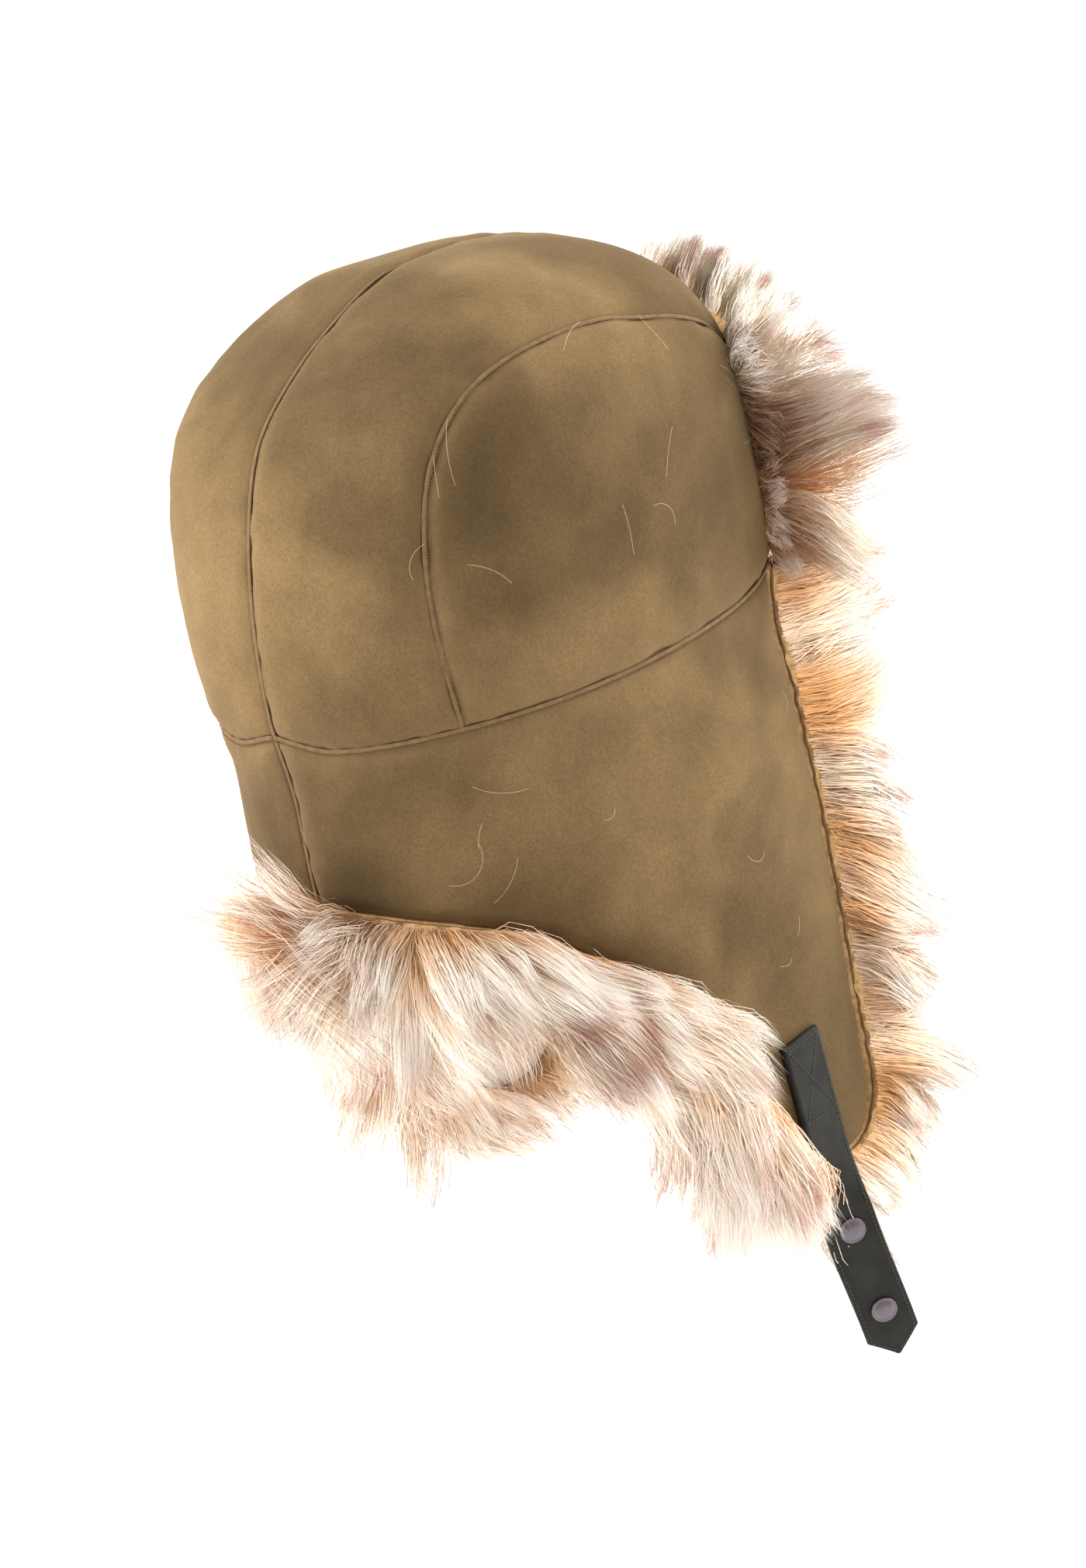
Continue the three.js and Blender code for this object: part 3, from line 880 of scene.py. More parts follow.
def add_node(
    tree: NodeTree,
    kind: str,
    settings: Mapping[object, object] | None = None,
    links: Mapping[object, NodeSocket] | None = None,
) -> bpy.types.Node:
    """Adds a node with its settings and links.

    Args:
        tree: The node tree.
        kind: The node's type.
        settings: Values by property name, input name or input number.
        links: Sockets that feed inputs, by input name or number.

    Returns:
        The node.
    """
    node = tree.nodes.new(kind)
    for key, value in (settings or {}).items():
        if isinstance(key, str) and hasattr(node, key):
            setattr(node, key, value)
        else:
            node.inputs[key].default_value = value
    for key, socket in (links or {}).items():
        tree.links.new(socket, node.inputs[key])
    return node


def new_tree(name: str) -> tuple[Material, NodeTree]:
    """Makes a material with an empty node tree.

    Args:
        name: The material's name.

    Returns:
        The material and its tree.
    """
    material = bpy.data.materials.new(name)
    material.use_nodes = True
    material.node_tree.nodes.clear()
    return material, material.node_tree


def mix_colours(
    tree: NodeTree,
    factor: NodeSocket | float,
    first: NodeSocket | str,
    second: NodeSocket | str,
    blend: str = "MIX",
) -> NodeSocket:
    """Mixes two colours.

    Args:
        tree: The node tree.
        factor: What decides between them.
        first: The colour at 0, a hex colour or a socket.
        second: The colour at 1, a hex colour or a socket.
        blend: How they are mixed.

    Returns:
        The mixed colour.
    """
    settings: dict[object, object] = {"data_type": "RGBA", "blend_type": blend}
    links: dict[object, NodeSocket] = {}
    for place, value in ((0, factor), (6, first), (7, second)):
        if isinstance(value, NodeSocket):
            links[place] = value
        else:
            settings[place] = linear_colour(value) if isinstance(value, str) else value
    return add_node(tree, "ShaderNodeMix", settings, links).outputs[2]


def noise(
    tree: NodeTree, per_m: float, detail: float, roughness: float = 0.5, distortion: float = 0.0
) -> NodeSocket:
    """Noise that is fixed to the piece's own metres.

    Args:
        tree: The node tree.
        per_m: How many of its waves go in a metre.
        detail: How many finer layers it has.
        roughness: How strong the finer layers are.
        distortion: How far it is warped.

    Returns:
        The noise.
    """
    place = add_node(tree, "ShaderNodeTexCoord").outputs["Object"]
    settings = {"Scale": per_m, "Detail": detail, "Roughness": roughness, "Distortion": distortion}
    return add_node(tree, "ShaderNodeTexNoise", settings, {"Vector": place}).outputs[0]


def spread(
    tree: NodeTree,
    value: NodeSocket,
    low: float,
    high: float,
    at_low: float = 0.0,
    at_high: float = 1.0,
    interpolation: str = "LINEAR",
) -> NodeSocket:
    """Maps a value between two limits to a new range.

    Args:
        tree: The node tree.
        value: The value.
        low: Its lower limit.
        high: Its upper limit.
        at_low: What the lower limit becomes.
        at_high: What the upper limit becomes.
        interpolation: How the range is crossed.

    Returns:
        The mapped value.
    """
    settings = {"interpolation_type": interpolation, 1: low, 2: high, 3: at_low, 4: at_high}
    return add_node(tree, "ShaderNodeMapRange", settings, {0: value}).outputs[0]


def product(
    tree: NodeTree, first: NodeSocket, second: NodeSocket | float
) -> NodeSocket:
    """Multiplies a value by another.

    Args:
        tree: The node tree.
        first: The value.
        second: The other one, a number or a socket.

    Returns:
        The product.
    """
    settings: dict[object, object] = {"operation": "MULTIPLY"}
    links = {0: first}
    if isinstance(second, NodeSocket):
        links[1] = second
    else:
        settings[1] = second
    return add_node(tree, "ShaderNodeMath", settings, links).outputs[0]


def stored(tree: NodeTree, name: str) -> NodeSocket:
    """A value that the mesh's points carry.

    Args:
        tree: The node tree.
        name: The attribute's name.

    Returns:
        The value.
    """
    settings = {"attribute_type": "GEOMETRY", "attribute_name": name}
    return add_node(tree, "ShaderNodeAttribute", settings).outputs["Fac"]


def bump(
    tree: NodeTree,
    height: NodeSocket,
    strength: float,
    distance: float,
    under: NodeSocket | None = None,
) -> NodeSocket:
    """Fine relief in the surface's shading.

    Args:
        tree: The node tree.
        height: The relief.
        strength: How much of it shows.
        distance: Its height, in metres.
        under: The relief that it lies on.

    Returns:
        The shading normal.
    """
    links = {"Height": height}
    if under is not None:
        links["Normal"] = under
    return add_node(tree, "ShaderNodeBump", {"Strength": strength, "Distance": distance}, links).outputs[0]


def finish(
    tree: NodeTree,
    settings: Mapping[object, object],
    colour: NodeSocket | None = None,
    normal: NodeSocket | None = None,
    roughness: NodeSocket | None = None,
) -> None:
    """Ends a material with its shader and output.

    Args:
        tree: The node tree.
        settings: The shader's fixed values.
        colour: What feeds its colour.
        normal: What feeds its normal.
        roughness: What feeds its roughness.
    """
    feeds = {"Base Color": colour, "Normal": normal, "Roughness": roughness}
    links = {name: socket for name, socket in feeds.items() if socket is not None}
    shader = add_node(tree, "ShaderNodeBsdfPrincipled", settings, links)
    add_node(tree, "ShaderNodeOutputMaterial", links={"Surface": shader.outputs[0]})


@dataclass(frozen=True)
class Suede:
    """Sheep hide with its flesh side buffed to suede.

    The nap is brushed this way and that by hand, so soft cloudy patches differ in shade. The fine grain
    scatters light, so there is no highlight, only a pale sheen where the surface turns away.
    """

    name: str = "buffed suede"
    middle: str = "#655134"
    light: str = "#7a6242"
    dark: str = "#4f3e27"
    rim: str = "#745d3f"
    sheen: str = "#e0c596"
    roughness: float = 0.92
    patch_shade: tuple[float, float] = (0.84, 1.12)
    speck_shade: tuple[float, float] = (0.8, 1.16)
    rim_wear: float = 0.45
    cloud_per_m: float = 11.0
    smudge_per_m: float = 42.0
    grain_per_m: float = 900.0

    def build(self) -> Material:
        """Makes the material.

        Returns:
            The material.
        """
        material, tree = new_tree(self.name)
        cloud = noise(tree, self.cloud_per_m, 3.0, distortion=0.3)
        smudge = noise(tree, self.smudge_per_m, 5.0, 0.6, 0.4)
        grain = noise(tree, self.grain_per_m, 5.0, 0.75)
        colour = mix_colours(tree, spread(tree, cloud, 0.28, 0.55, 1.0, 0.0), self.middle, self.dark)
        colour = mix_colours(tree, spread(tree, cloud, 0.45, 0.78), colour, self.light)
        patch = spread(tree, smudge, 0.3, 0.7, *self.patch_shade)
        speck = spread(tree, grain, 0.35, 0.65, *self.speck_shade)
        shade = product(tree, patch, speck)
        grey = add_node(tree, "ShaderNodeCombineColor", links={k: shade for k in range(3)})
        colour = mix_colours(tree, 1.0, colour, grey.outputs[0], "MULTIPLY")
        worn = product(tree, stored(tree, "rim"), self.rim_wear)
        colour = mix_colours(tree, worn, colour, self.rim)
        normal = bump(tree, smudge, 0.25, 0.002, bump(tree, grain, 0.3, 0.0003))
        settings = {"Roughness": self.roughness, "Specular IOR Level": 0.12, "Sheen Weight": 0.16,
                    "Sheen Roughness": 0.4, "Sheen Tint": linear_colour(self.sheen)}
        finish(tree, settings, colour, normal)
        return material


@dataclass(frozen=True)
class SeamTape:
    """The raised edge of a sewn seam. Its default colours are a little paler than the panels beside it, a
    painted highlight on the raised welt.
    """

    name: str = "seam edge with painted highlight"
    # The default colours sit paler than the suede: a painted highlight on the raised welt.
    light: str = "#745d3d"
    dark: str = "#665136"
    roughness: float = 0.9
    fibre_per_m: float = 330.0

    def build(self) -> Material:
        """Makes the material.

        Returns:
            The material.
        """
        material, tree = new_tree(self.name)
        fibre = noise(tree, self.fibre_per_m, 4.0)
        colour = mix_colours(tree, spread(tree, fibre, 0.35, 0.65), self.dark, self.light)
        settings = {"Roughness": self.roughness, "Specular IOR Level": 0.12, "Sheen Weight": 0.04}
        finish(tree, settings, colour, bump(tree, fibre, 0.4, 0.0004))
        return material


@dataclass(frozen=True)
class LongFur:
    """Long sheep's wool, dyed in three steps: caramel at the skin, cream along its length, red-brown tips.

    Each strand carries how far along it a point lies, so the steps of the dye follow the hair and the tips
    stand out dark against the pale coat, most of all along the outline. Smoke is the dark brown of the
    whorl beside the front flap.
    """

    name: str = "long dyed fur"
    root: str = "#e0a261"
    cream: str = "#f8e6cd"
    white: str = "#fff8ee"
    tip: str = "#8e4430"
    smoke: str = "#5f3a22"
    roughness: float = 0.6

    def build(self) -> Material:
        """Makes the material.

        Returns:
            The material.
        """
        material, tree = new_tree(self.name)
        along, tone, tip, smoke = (stored(tree, name) for name in ("along", "tone", "tip", "smoke"))
        colour = mix_colours(tree, spread(tree, along, 0.25, 0.85), self.cream, self.white)
        fade = spread(tree, along, 0.2, 0.85, 1.0, 0.0, "SMOOTHSTEP")
        colour = mix_colours(tree, product(tree, fade, tone), colour, self.root)
        near_tip = spread(tree, along, 0.6, 1.0, interpolation="SMOOTHSTEP")
        for factor, dye in ((product(tree, near_tip, tip), self.tip), (smoke, self.smoke)):
            for shade in (self.root, dye):
                colour = mix_colours(tree, factor, colour, shade)
        settings = {"Roughness": self.roughness, "Specular IOR Level": 0.25, "Sheen Weight": 0.12,
                    "Sheen Roughness": 0.6}
        finish(tree, settings, colour)
        return material


@dataclass(frozen=True)
class FurSkin:
    """The hide under the long fur, seen only where the coat parts."""

    name: str = "fur backing hide"
    light: str = "#c9a577"
    dark: str = "#a8814f"
    grain_per_m: float = 420.0

    def build(self) -> Material:
        """Makes the material.

        Returns:
            The material.
        """
        material, tree = new_tree(self.name)
        skin = noise(tree, self.grain_per_m, 5.0)
        colour = mix_colours(tree, spread(tree, skin, 0.35, 0.65), self.dark, self.light)
        settings = {"Roughness": 0.9, "Specular IOR Level": 0.1}
        finish(tree, settings, colour, bump(tree, skin, 0.6, 0.001))
        return material


@dataclass(frozen=True)
class ClippedWool:
    """The hide's own wool inside the hat, clipped short and slightly felted."""

    name: str = "clipped wool"
    light: str = "#f4ebdd"
    dark: str = "#dcc8ab"
    curl_per_m: float = 380.0

    def build(self) -> Material:
        """Makes the material.

        Returns:
            The material.
        """
        material, tree = new_tree(self.name)
        curl = noise(tree, self.curl_per_m, 5.0, 0.7, 1.2)
        colour = mix_colours(tree, spread(tree, curl, 0.3, 0.6), self.dark, self.light)
        settings = {"Roughness": 0.95, "Specular IOR Level": 0.1, "Sheen Weight": 0.2}
        finish(tree, settings, colour, bump(tree, curl, 0.8, 0.0015))
        return material


@dataclass(frozen=True)
class StrapLeather:
    """Drum-dyed cowhide with a matt pigment finish, a little worn to grey."""

    name: str = "charcoal strap leather"
    middle: str = "#191814"
    light: str = "#25241e"
    roughness: float = 0.7
    wear_per_m: float = 90.0
    pore_per_m: float = 1300.0

    def build(self) -> Material:
        """Makes the material.

        Returns:
            The material.
        """
        material, tree = new_tree(self.name)
        wear = spread(tree, noise(tree, self.wear_per_m, 4.0, 0.6), 0.4, 0.68)
        colour = mix_colours(tree, wear, self.middle, self.light)
        place = add_node(tree, "ShaderNodeTexCoord").outputs["Object"]
        pores = add_node(tree, "ShaderNodeTexVoronoi", {"Scale": self.pore_per_m}, {"Vector": place})
        normal = bump(tree, pores.outputs["Distance"], 0.25, 0.0002)
        finish(tree, {"Roughness": self.roughness, "IOR": 1.45, "Specular IOR Level": 0.25}, colour, normal)
        return material


@dataclass(frozen=True)
class Thread:
    """Polyester sewing thread, dull, sunk into the hide."""

    name: str
    colour: str
    lighter: str
    twist_per_m: float = 900.0

    def build(self) -> Material:
        """Makes the material.

        Returns:
            The material.
        """
        material, tree = new_tree(self.name)
        colour = mix_colours(tree, noise(tree, self.twist_per_m, 2.0), self.colour, self.lighter)
        finish(tree, {"Roughness": 0.8, "Specular IOR Level": 0.3}, colour)
        return material


@dataclass(frozen=True)
class Gunmetal:
    """Stamped brass with a satin gunmetal plating, brushed very fine."""

    name: str = "satin gunmetal plating"
    colour: str = "#5e575c"
    roughness: float = 0.36
    stain_per_m: float = 500.0

    def build(self) -> Material:
        """Makes the material.

        Returns:
            The material.
        """
        material, tree = new_tree(self.name)
        stain = noise(tree, self.stain_per_m, 4.0)
        rough = spread(tree, stain, 0.3, 0.7, self.roughness - 0.07, self.roughness + 0.1)
        finish(tree, {"Base Color": linear_colour(self.colour), "Metallic": 0.85}, roughness=rough)
        return material


@dataclass(frozen=True)
class StudioWhite:
    """Matt white paper of the floor."""

    name: str = "white studio paper"
    colour: str = "#fbfbfa"

    def build(self) -> Material:
        """Makes the material.

        Returns:
            The material.
        """
        material, tree = new_tree(self.name)
        settings = {"Base Color": linear_colour(self.colour), "Roughness": 0.95, "Specular IOR Level": 0.0}
        finish(tree, settings)
        return material


# The cut of the hat


@dataclass(frozen=True)
class Cut:
    """The hat's seams and edges, laid on its form. All lie on the wearer's right side."""

    form: HatForm

    def level_seam(self, start: float, end: float, steps: int) -> Array:
        """The seam between the crown and the ear flaps.

        Args:
            start: The turn where it starts.
            end: The turn where it ends.
            steps: How many steps it gets.

        Returns:
            Its points.
        """
        turn = np.linspace(start, end, steps + 1)
        return self.form.at_turn(turn, table_value(LEVEL_SEAM, "turn", "z", turn))

    def edge(self, rows: Sequence[EdgePoint], steps: int) -> Array:
        """A smooth edge through a table of turns and heights.

        Args:
            rows: The table.
            steps: How many steps the edge gets.

        Returns:
            Its points.
        """
        places = self.form.at_turn([row.turn for row in rows], [row.z for row in rows])
        return self.form.smooth(places, steps)

    def arch(self, steps: int) -> Array:
        """The seam between the crown's side and its centre.

        Args:
            steps: How many steps it gets.

        Returns:
            Its points, from the back to the front.
        """
        points = self.form.smooth(np.array([[row.x, row.y, row.z] for row in ARCH]), steps)
        points[0] = self.level_seam(ARCH_START_TURN, ARCH_START_TURN, 0)[0]
        points[-1] = self.level_seam(ARCH_END_TURN, ARCH_END_TURN, 0)[0]
        return points

    def centre_seam(self, steps: int) -> Array:
        """The seam over the top of the head, from the back to the brow.

        Args:
            steps: How many steps it gets.

        Returns:
            Its points.
        """
        back = self.level_seam(0, 0, 0)[0]
        brow = self.level_seam(180, 180, 0)[0]
        angle = np.linspace(math.atan2(back[2], back[1]), math.atan2(brow[2], brow[1]), steps + 1)
        rays = np.stack([np.zeros_like(angle), np.cos(angle), np.sin(angle)], axis=1) * 100
        seam = self.form.onto(rays)
        seam[0], seam[-1] = back, brow
        return seam

    def patch(self, bottom: Array, top: Array, left: Array, right: Array) -> Array:
        """A Coons patch between four sides, moved onto the form.

        Args:
            bottom: The lower side, from left to right.
            top: The upper side, from left to right.
            left: The left side, from bottom to top.
            right: The right side, from bottom to top.

        Returns:
            Rows of points, from bottom to top.
        """
        u = np.linspace(0, 1, len(bottom))[None, :, None]
        v = np.linspace(0, 1, len(left))[:, None, None]
        sides = bottom[None] * (1 - v) + top[None] * v + left[:, None] * (1 - u) + right[:, None] * u
        lower = bottom[0] * (1 - u) * (1 - v) + bottom[-1] * u * (1 - v)
        upper = top[0] * (1 - u) * v + top[-1] * u * v
        return self.form.onto(sides - lower - upper)

    def crown_side(self, fineness: int) -> Array:
        """The grid of the crown's side.

        Args:
            fineness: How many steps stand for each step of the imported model.

        Returns:
            Rows of points.
        """
        arch = self.arch(28 * fineness)
        rise, run = 8 * fineness, 20 * fineness
        bottom = self.level_seam(ARCH_START_TURN, ARCH_END_TURN, run - rise)
        return self.patch(bottom, arch[rise:run + 1], arch[:rise + 1], arch[run:][::-1])

    def crown_centre(self, fineness: int, across: int) -> Array:
        """The grid of one half of the crown's centre strip.

        Args:
            fineness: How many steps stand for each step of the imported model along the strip.
            across: How many steps there are across it.

        Returns:
            Rows of points.
        """
        arch = self.arch(28 * fineness)
        seam = self.centre_seam(28 * fineness)
        back = self.level_seam(0, ARCH_START_TURN, across)
        brow = self.level_seam(180, ARCH_END_TURN, across)
        return self.patch(seam, arch, back, brow)

    def flap(self, around: int, down: int) -> Array:
        """The grid of the ear flap.

        Args:
            around: How many steps there are round the head.
            down: How many steps there are from hem to seam.

        Returns:
            Rows of points.
        """
        top = self.level_seam(0, FLAP_FRONT[0].turn, around)
        heights = np.linspace(HEM[0].z, LEVEL_SEAM[0].z, down + 1)
        back = self.form.at_turn(np.zeros(down + 1), heights)
        front = self.edge(FLAP_FRONT, down)[::-1]
        return self.patch(self.edge(HEM, around), top, back, front)

    def border(self, step: float) -> Array:
        """The flap's hem from the centre back and then its front edge upwards.

        Args:
            step: The length of a step.

        Returns:
            The border's points.
        """
        hem = self.edge(HEM, 300)
        front = self.edge(FLAP_FRONT, 200)[::-1]
        whole = np.vstack([hem, front[1:]])
        return resample(whole, round(polyline_length(whole) / step))


# Suede panels


@dataclass
class Panels:
    """The crown and the ear flaps: hide with its suede side out, sewn edge to edge."""

    cut: Cut
    thickness: float = 6.5
    puff: float = 0.5
    edge_drop: float = 2.0
    edge_width: float = 3.2
    pucker: float = 0.45
    pucker_reach: float = 9.0
    wave: float = 0.35
    rim_reach: float = 5.0
    crown_fineness: int = 5
    centre_steps: int = 30
    flap_steps: tuple[int, int] = (96, 58)

    def hide(self, grid: Array) -> MeshData:
        """Gives a grid its thickness and sewn-in edges.

        Args:
            grid: Rows of points on the form.

        Returns:
            The closed panel.
        """
        away = self.border_distance(grid)
        folds = Wobble(3, 11.0)(grid) * np.exp(-away / self.pucker_reach)
        waves = Wobble(4, 70.0)(grid) * self.wave * smoothstep(4, 30, away)
        drop = self.edge_drop * np.exp(-((away / self.edge_width) ** 2))
        height = self.puff + self.pucker * folds + waves - drop
        data = slab(self.cut.form.over(grid, height), self.cut.form.over(grid, -self.thickness))
        rim = np.exp(-away / self.rim_reach).ravel()
        data.attributes["rim"] = np.concatenate([rim, np.zeros_like(rim)])
        data.slots = [0, 1, 1]
        return data

    @staticmethod
    def border_distance(grid: Array) -> Array:
        """How far each point of a grid is from the grid's border.

        Args:
            grid: Rows of points.

        Returns:
            The distances.
        """
        border = grid.reshape(-1, 3)[border_indices(*grid.shape[:2])]
        tree = KDTree(len(border))
        for k, point in enumerate(border):
            tree.insert(point, k)
        tree.balance()
        flat = np.array([tree.find(point)[2] for point in grid.reshape(-1, 3)])
        return flat.reshape(grid.shape[:2])

    def build(self, suede: Material, wool: Material) -> None:
        """Makes the panels of both sides.

        Args:
            suede: The outer material.
            wool: The inner material.
        """
        grids = {
            "crown_side": self.cut.crown_side(self.crown_fineness),
            "crown_centre": self.cut.crown_centre(self.crown_fineness, self.centre_steps),
            "ear_flap": self.cut.flap(*self.flap_steps),
        }
        for name, grid in grids.items():
            data = self.hide(grid)
            for side in Side:
                made = make_object(f"{name}_hide_{side.value}", side.turned(data), [suede, wool])
                place_piece(made, "suede", f"{name}_{side.value}")


# Seams


@dataclass
class Seams:
    """Raised seam edges with their stitches along one side."""

    form: HatForm
    width: float = 1.8
    height: float = 0.2
    pitch: float = 1.15
    stitch: tuple[float, float, float] = (0.6, 0.32, 0.2)
    step: float = 1.6
    count: int = 0

    def frames(self, path: Array) -> tuple[Array, Array, Array]:
        """The tangent, side and outward directions along a path on the form.

        Args:
            path: The path.

        Returns:
            The three directions at each point.
        """
        tangent = unit(np.gradient(path, axis=0))
        normal = self.form.normal(self.form.onto(path))
        side = unit(np.cross(tangent, normal))
        return tangent, side, unit(np.cross(side, tangent))

    def band(self, path: Array, lift: float = 0.0) -> MeshData:
        """The seam's raised band.

        Args:
            path: The seam's line.
            lift: How far the band is raised.

        Returns:
            Its mesh.
        """
        line = resample(path, max(round(polyline_length(path) / self.step), 2))
        _, side, normal = self.frames(line)
        base = self.form.over(line, lift)
        half = self.width / 2
        shape = ((-1, -1.6), (-0.96, 0.1), (-0.6, 0.75), (0, 1), (0.6, 0.75), (0.96, 0.1), (1, -1.6))
        wave = 1.0 + 0.06 * Wobble(11, 6.0)(line)[:, None]
        ring = [base + side * (half * s * wave) + normal * (self.height * h) for s, h in shape]
        return tube(np.stack(ring, axis=1))

    def stitches(self, path: Array, aside: float, slant: float, lift: float = 0.0) -> MeshData:
        """Small stitches in a row.

        Args:
            path: The seam's line.
            aside: How far the row is to the seam's side.
            slant: The stitch's angle to the seam, in degrees.
            lift: How far the row is raised.

        Returns:
            Their mesh.
        """
        line = resample(path, max(round(polyline_length(path) / self.pitch), 2))
        tangent, side, normal = self.frames(line)
        rng = np.random.default_rng(self.count + 17)
        self.count += 1
        angle = np.radians(slant + rng.normal(0, 7, len(line)))[:, None]
        along = tangent * np.cos(angle) + side * np.sin(angle)
        across = np.cross(normal, along)
        middle = self.form.over(line, lift) + side * (aside + rng.normal(0, 0.08, (len(line), 1)))
        return stitch_boxes(middle, along, across, normal, self.stitch, 0.7)


@dataclass
class SeamWork:
    """All seams of the crown and flaps."""

    cut: Cut
    low: float = -0.9
    slant: float = 12.0
    crown_steps: int = 140
    level_steps: int = 220

    def build(self, tape: Material, thread: Material) -> None:
        """Makes the bands and stitches.

        Args:
            tape: The material of the raised edges.
            thread: The material of the stitches.
        """
        seams = Seams(self.cut.form)
        arch = self.cut.arch(self.crown_steps)
        centre = self.cut.centre_seam(self.crown_steps)
        level = self.cut.level_seam(0, 180, self.level_steps)
        drop = self.cut.form.at_turn(np.zeros(30), np.linspace(LEVEL_SEAM[0].z, HEM[0].z, 30))
        bands = [seams.band(centre, self.low + 0.1), seams.band(drop, self.low + 0.1)]
        rows = [
            seams.stitches(centre, 1.25, 0, self.low + 0.6),
            seams.stitches(drop, 1.25, 0, self.low + 0.6),
        ]
        sewn = self.cut.level_seam(0, FLAP_FRONT[0].turn - 3, 200)
        for path, row, aside, lift in ((arch, arch, 1.15, self.low), (level, sewn, 1.2, self.low + 0.25)):
            for copy, line, side in ((path, row, aside), (mirrored(path), mirrored(row), -aside)):
                bands.append(seams.band(copy, lift))
                rows.append(seams.stitches(line, side, self.slant, lift + 0.45))
        place_piece(make_object("seam_bands", MeshData.joined(bands), [tape]), "suede")
        place_piece(make_object("seam_stitches", MeshData.joined(rows), [thread]), "suede")


# Fur


@dataclass(frozen=True)
class Coat:
    """Where a field of fur grows and how each hair lies: one row of every array for each hair.

    Normals point out of the coat. Starts and ends are the hair's directions at its root and at its tip.
    Tone is how golden the root is, tip how russet the tip and smoke how dark brown the whole hair.
    """

    roots: Array
    normals: Array
    starts: Array
    ends: Array
    lengths: Array
    tone: Array
    tip: Array
    smoke: Array


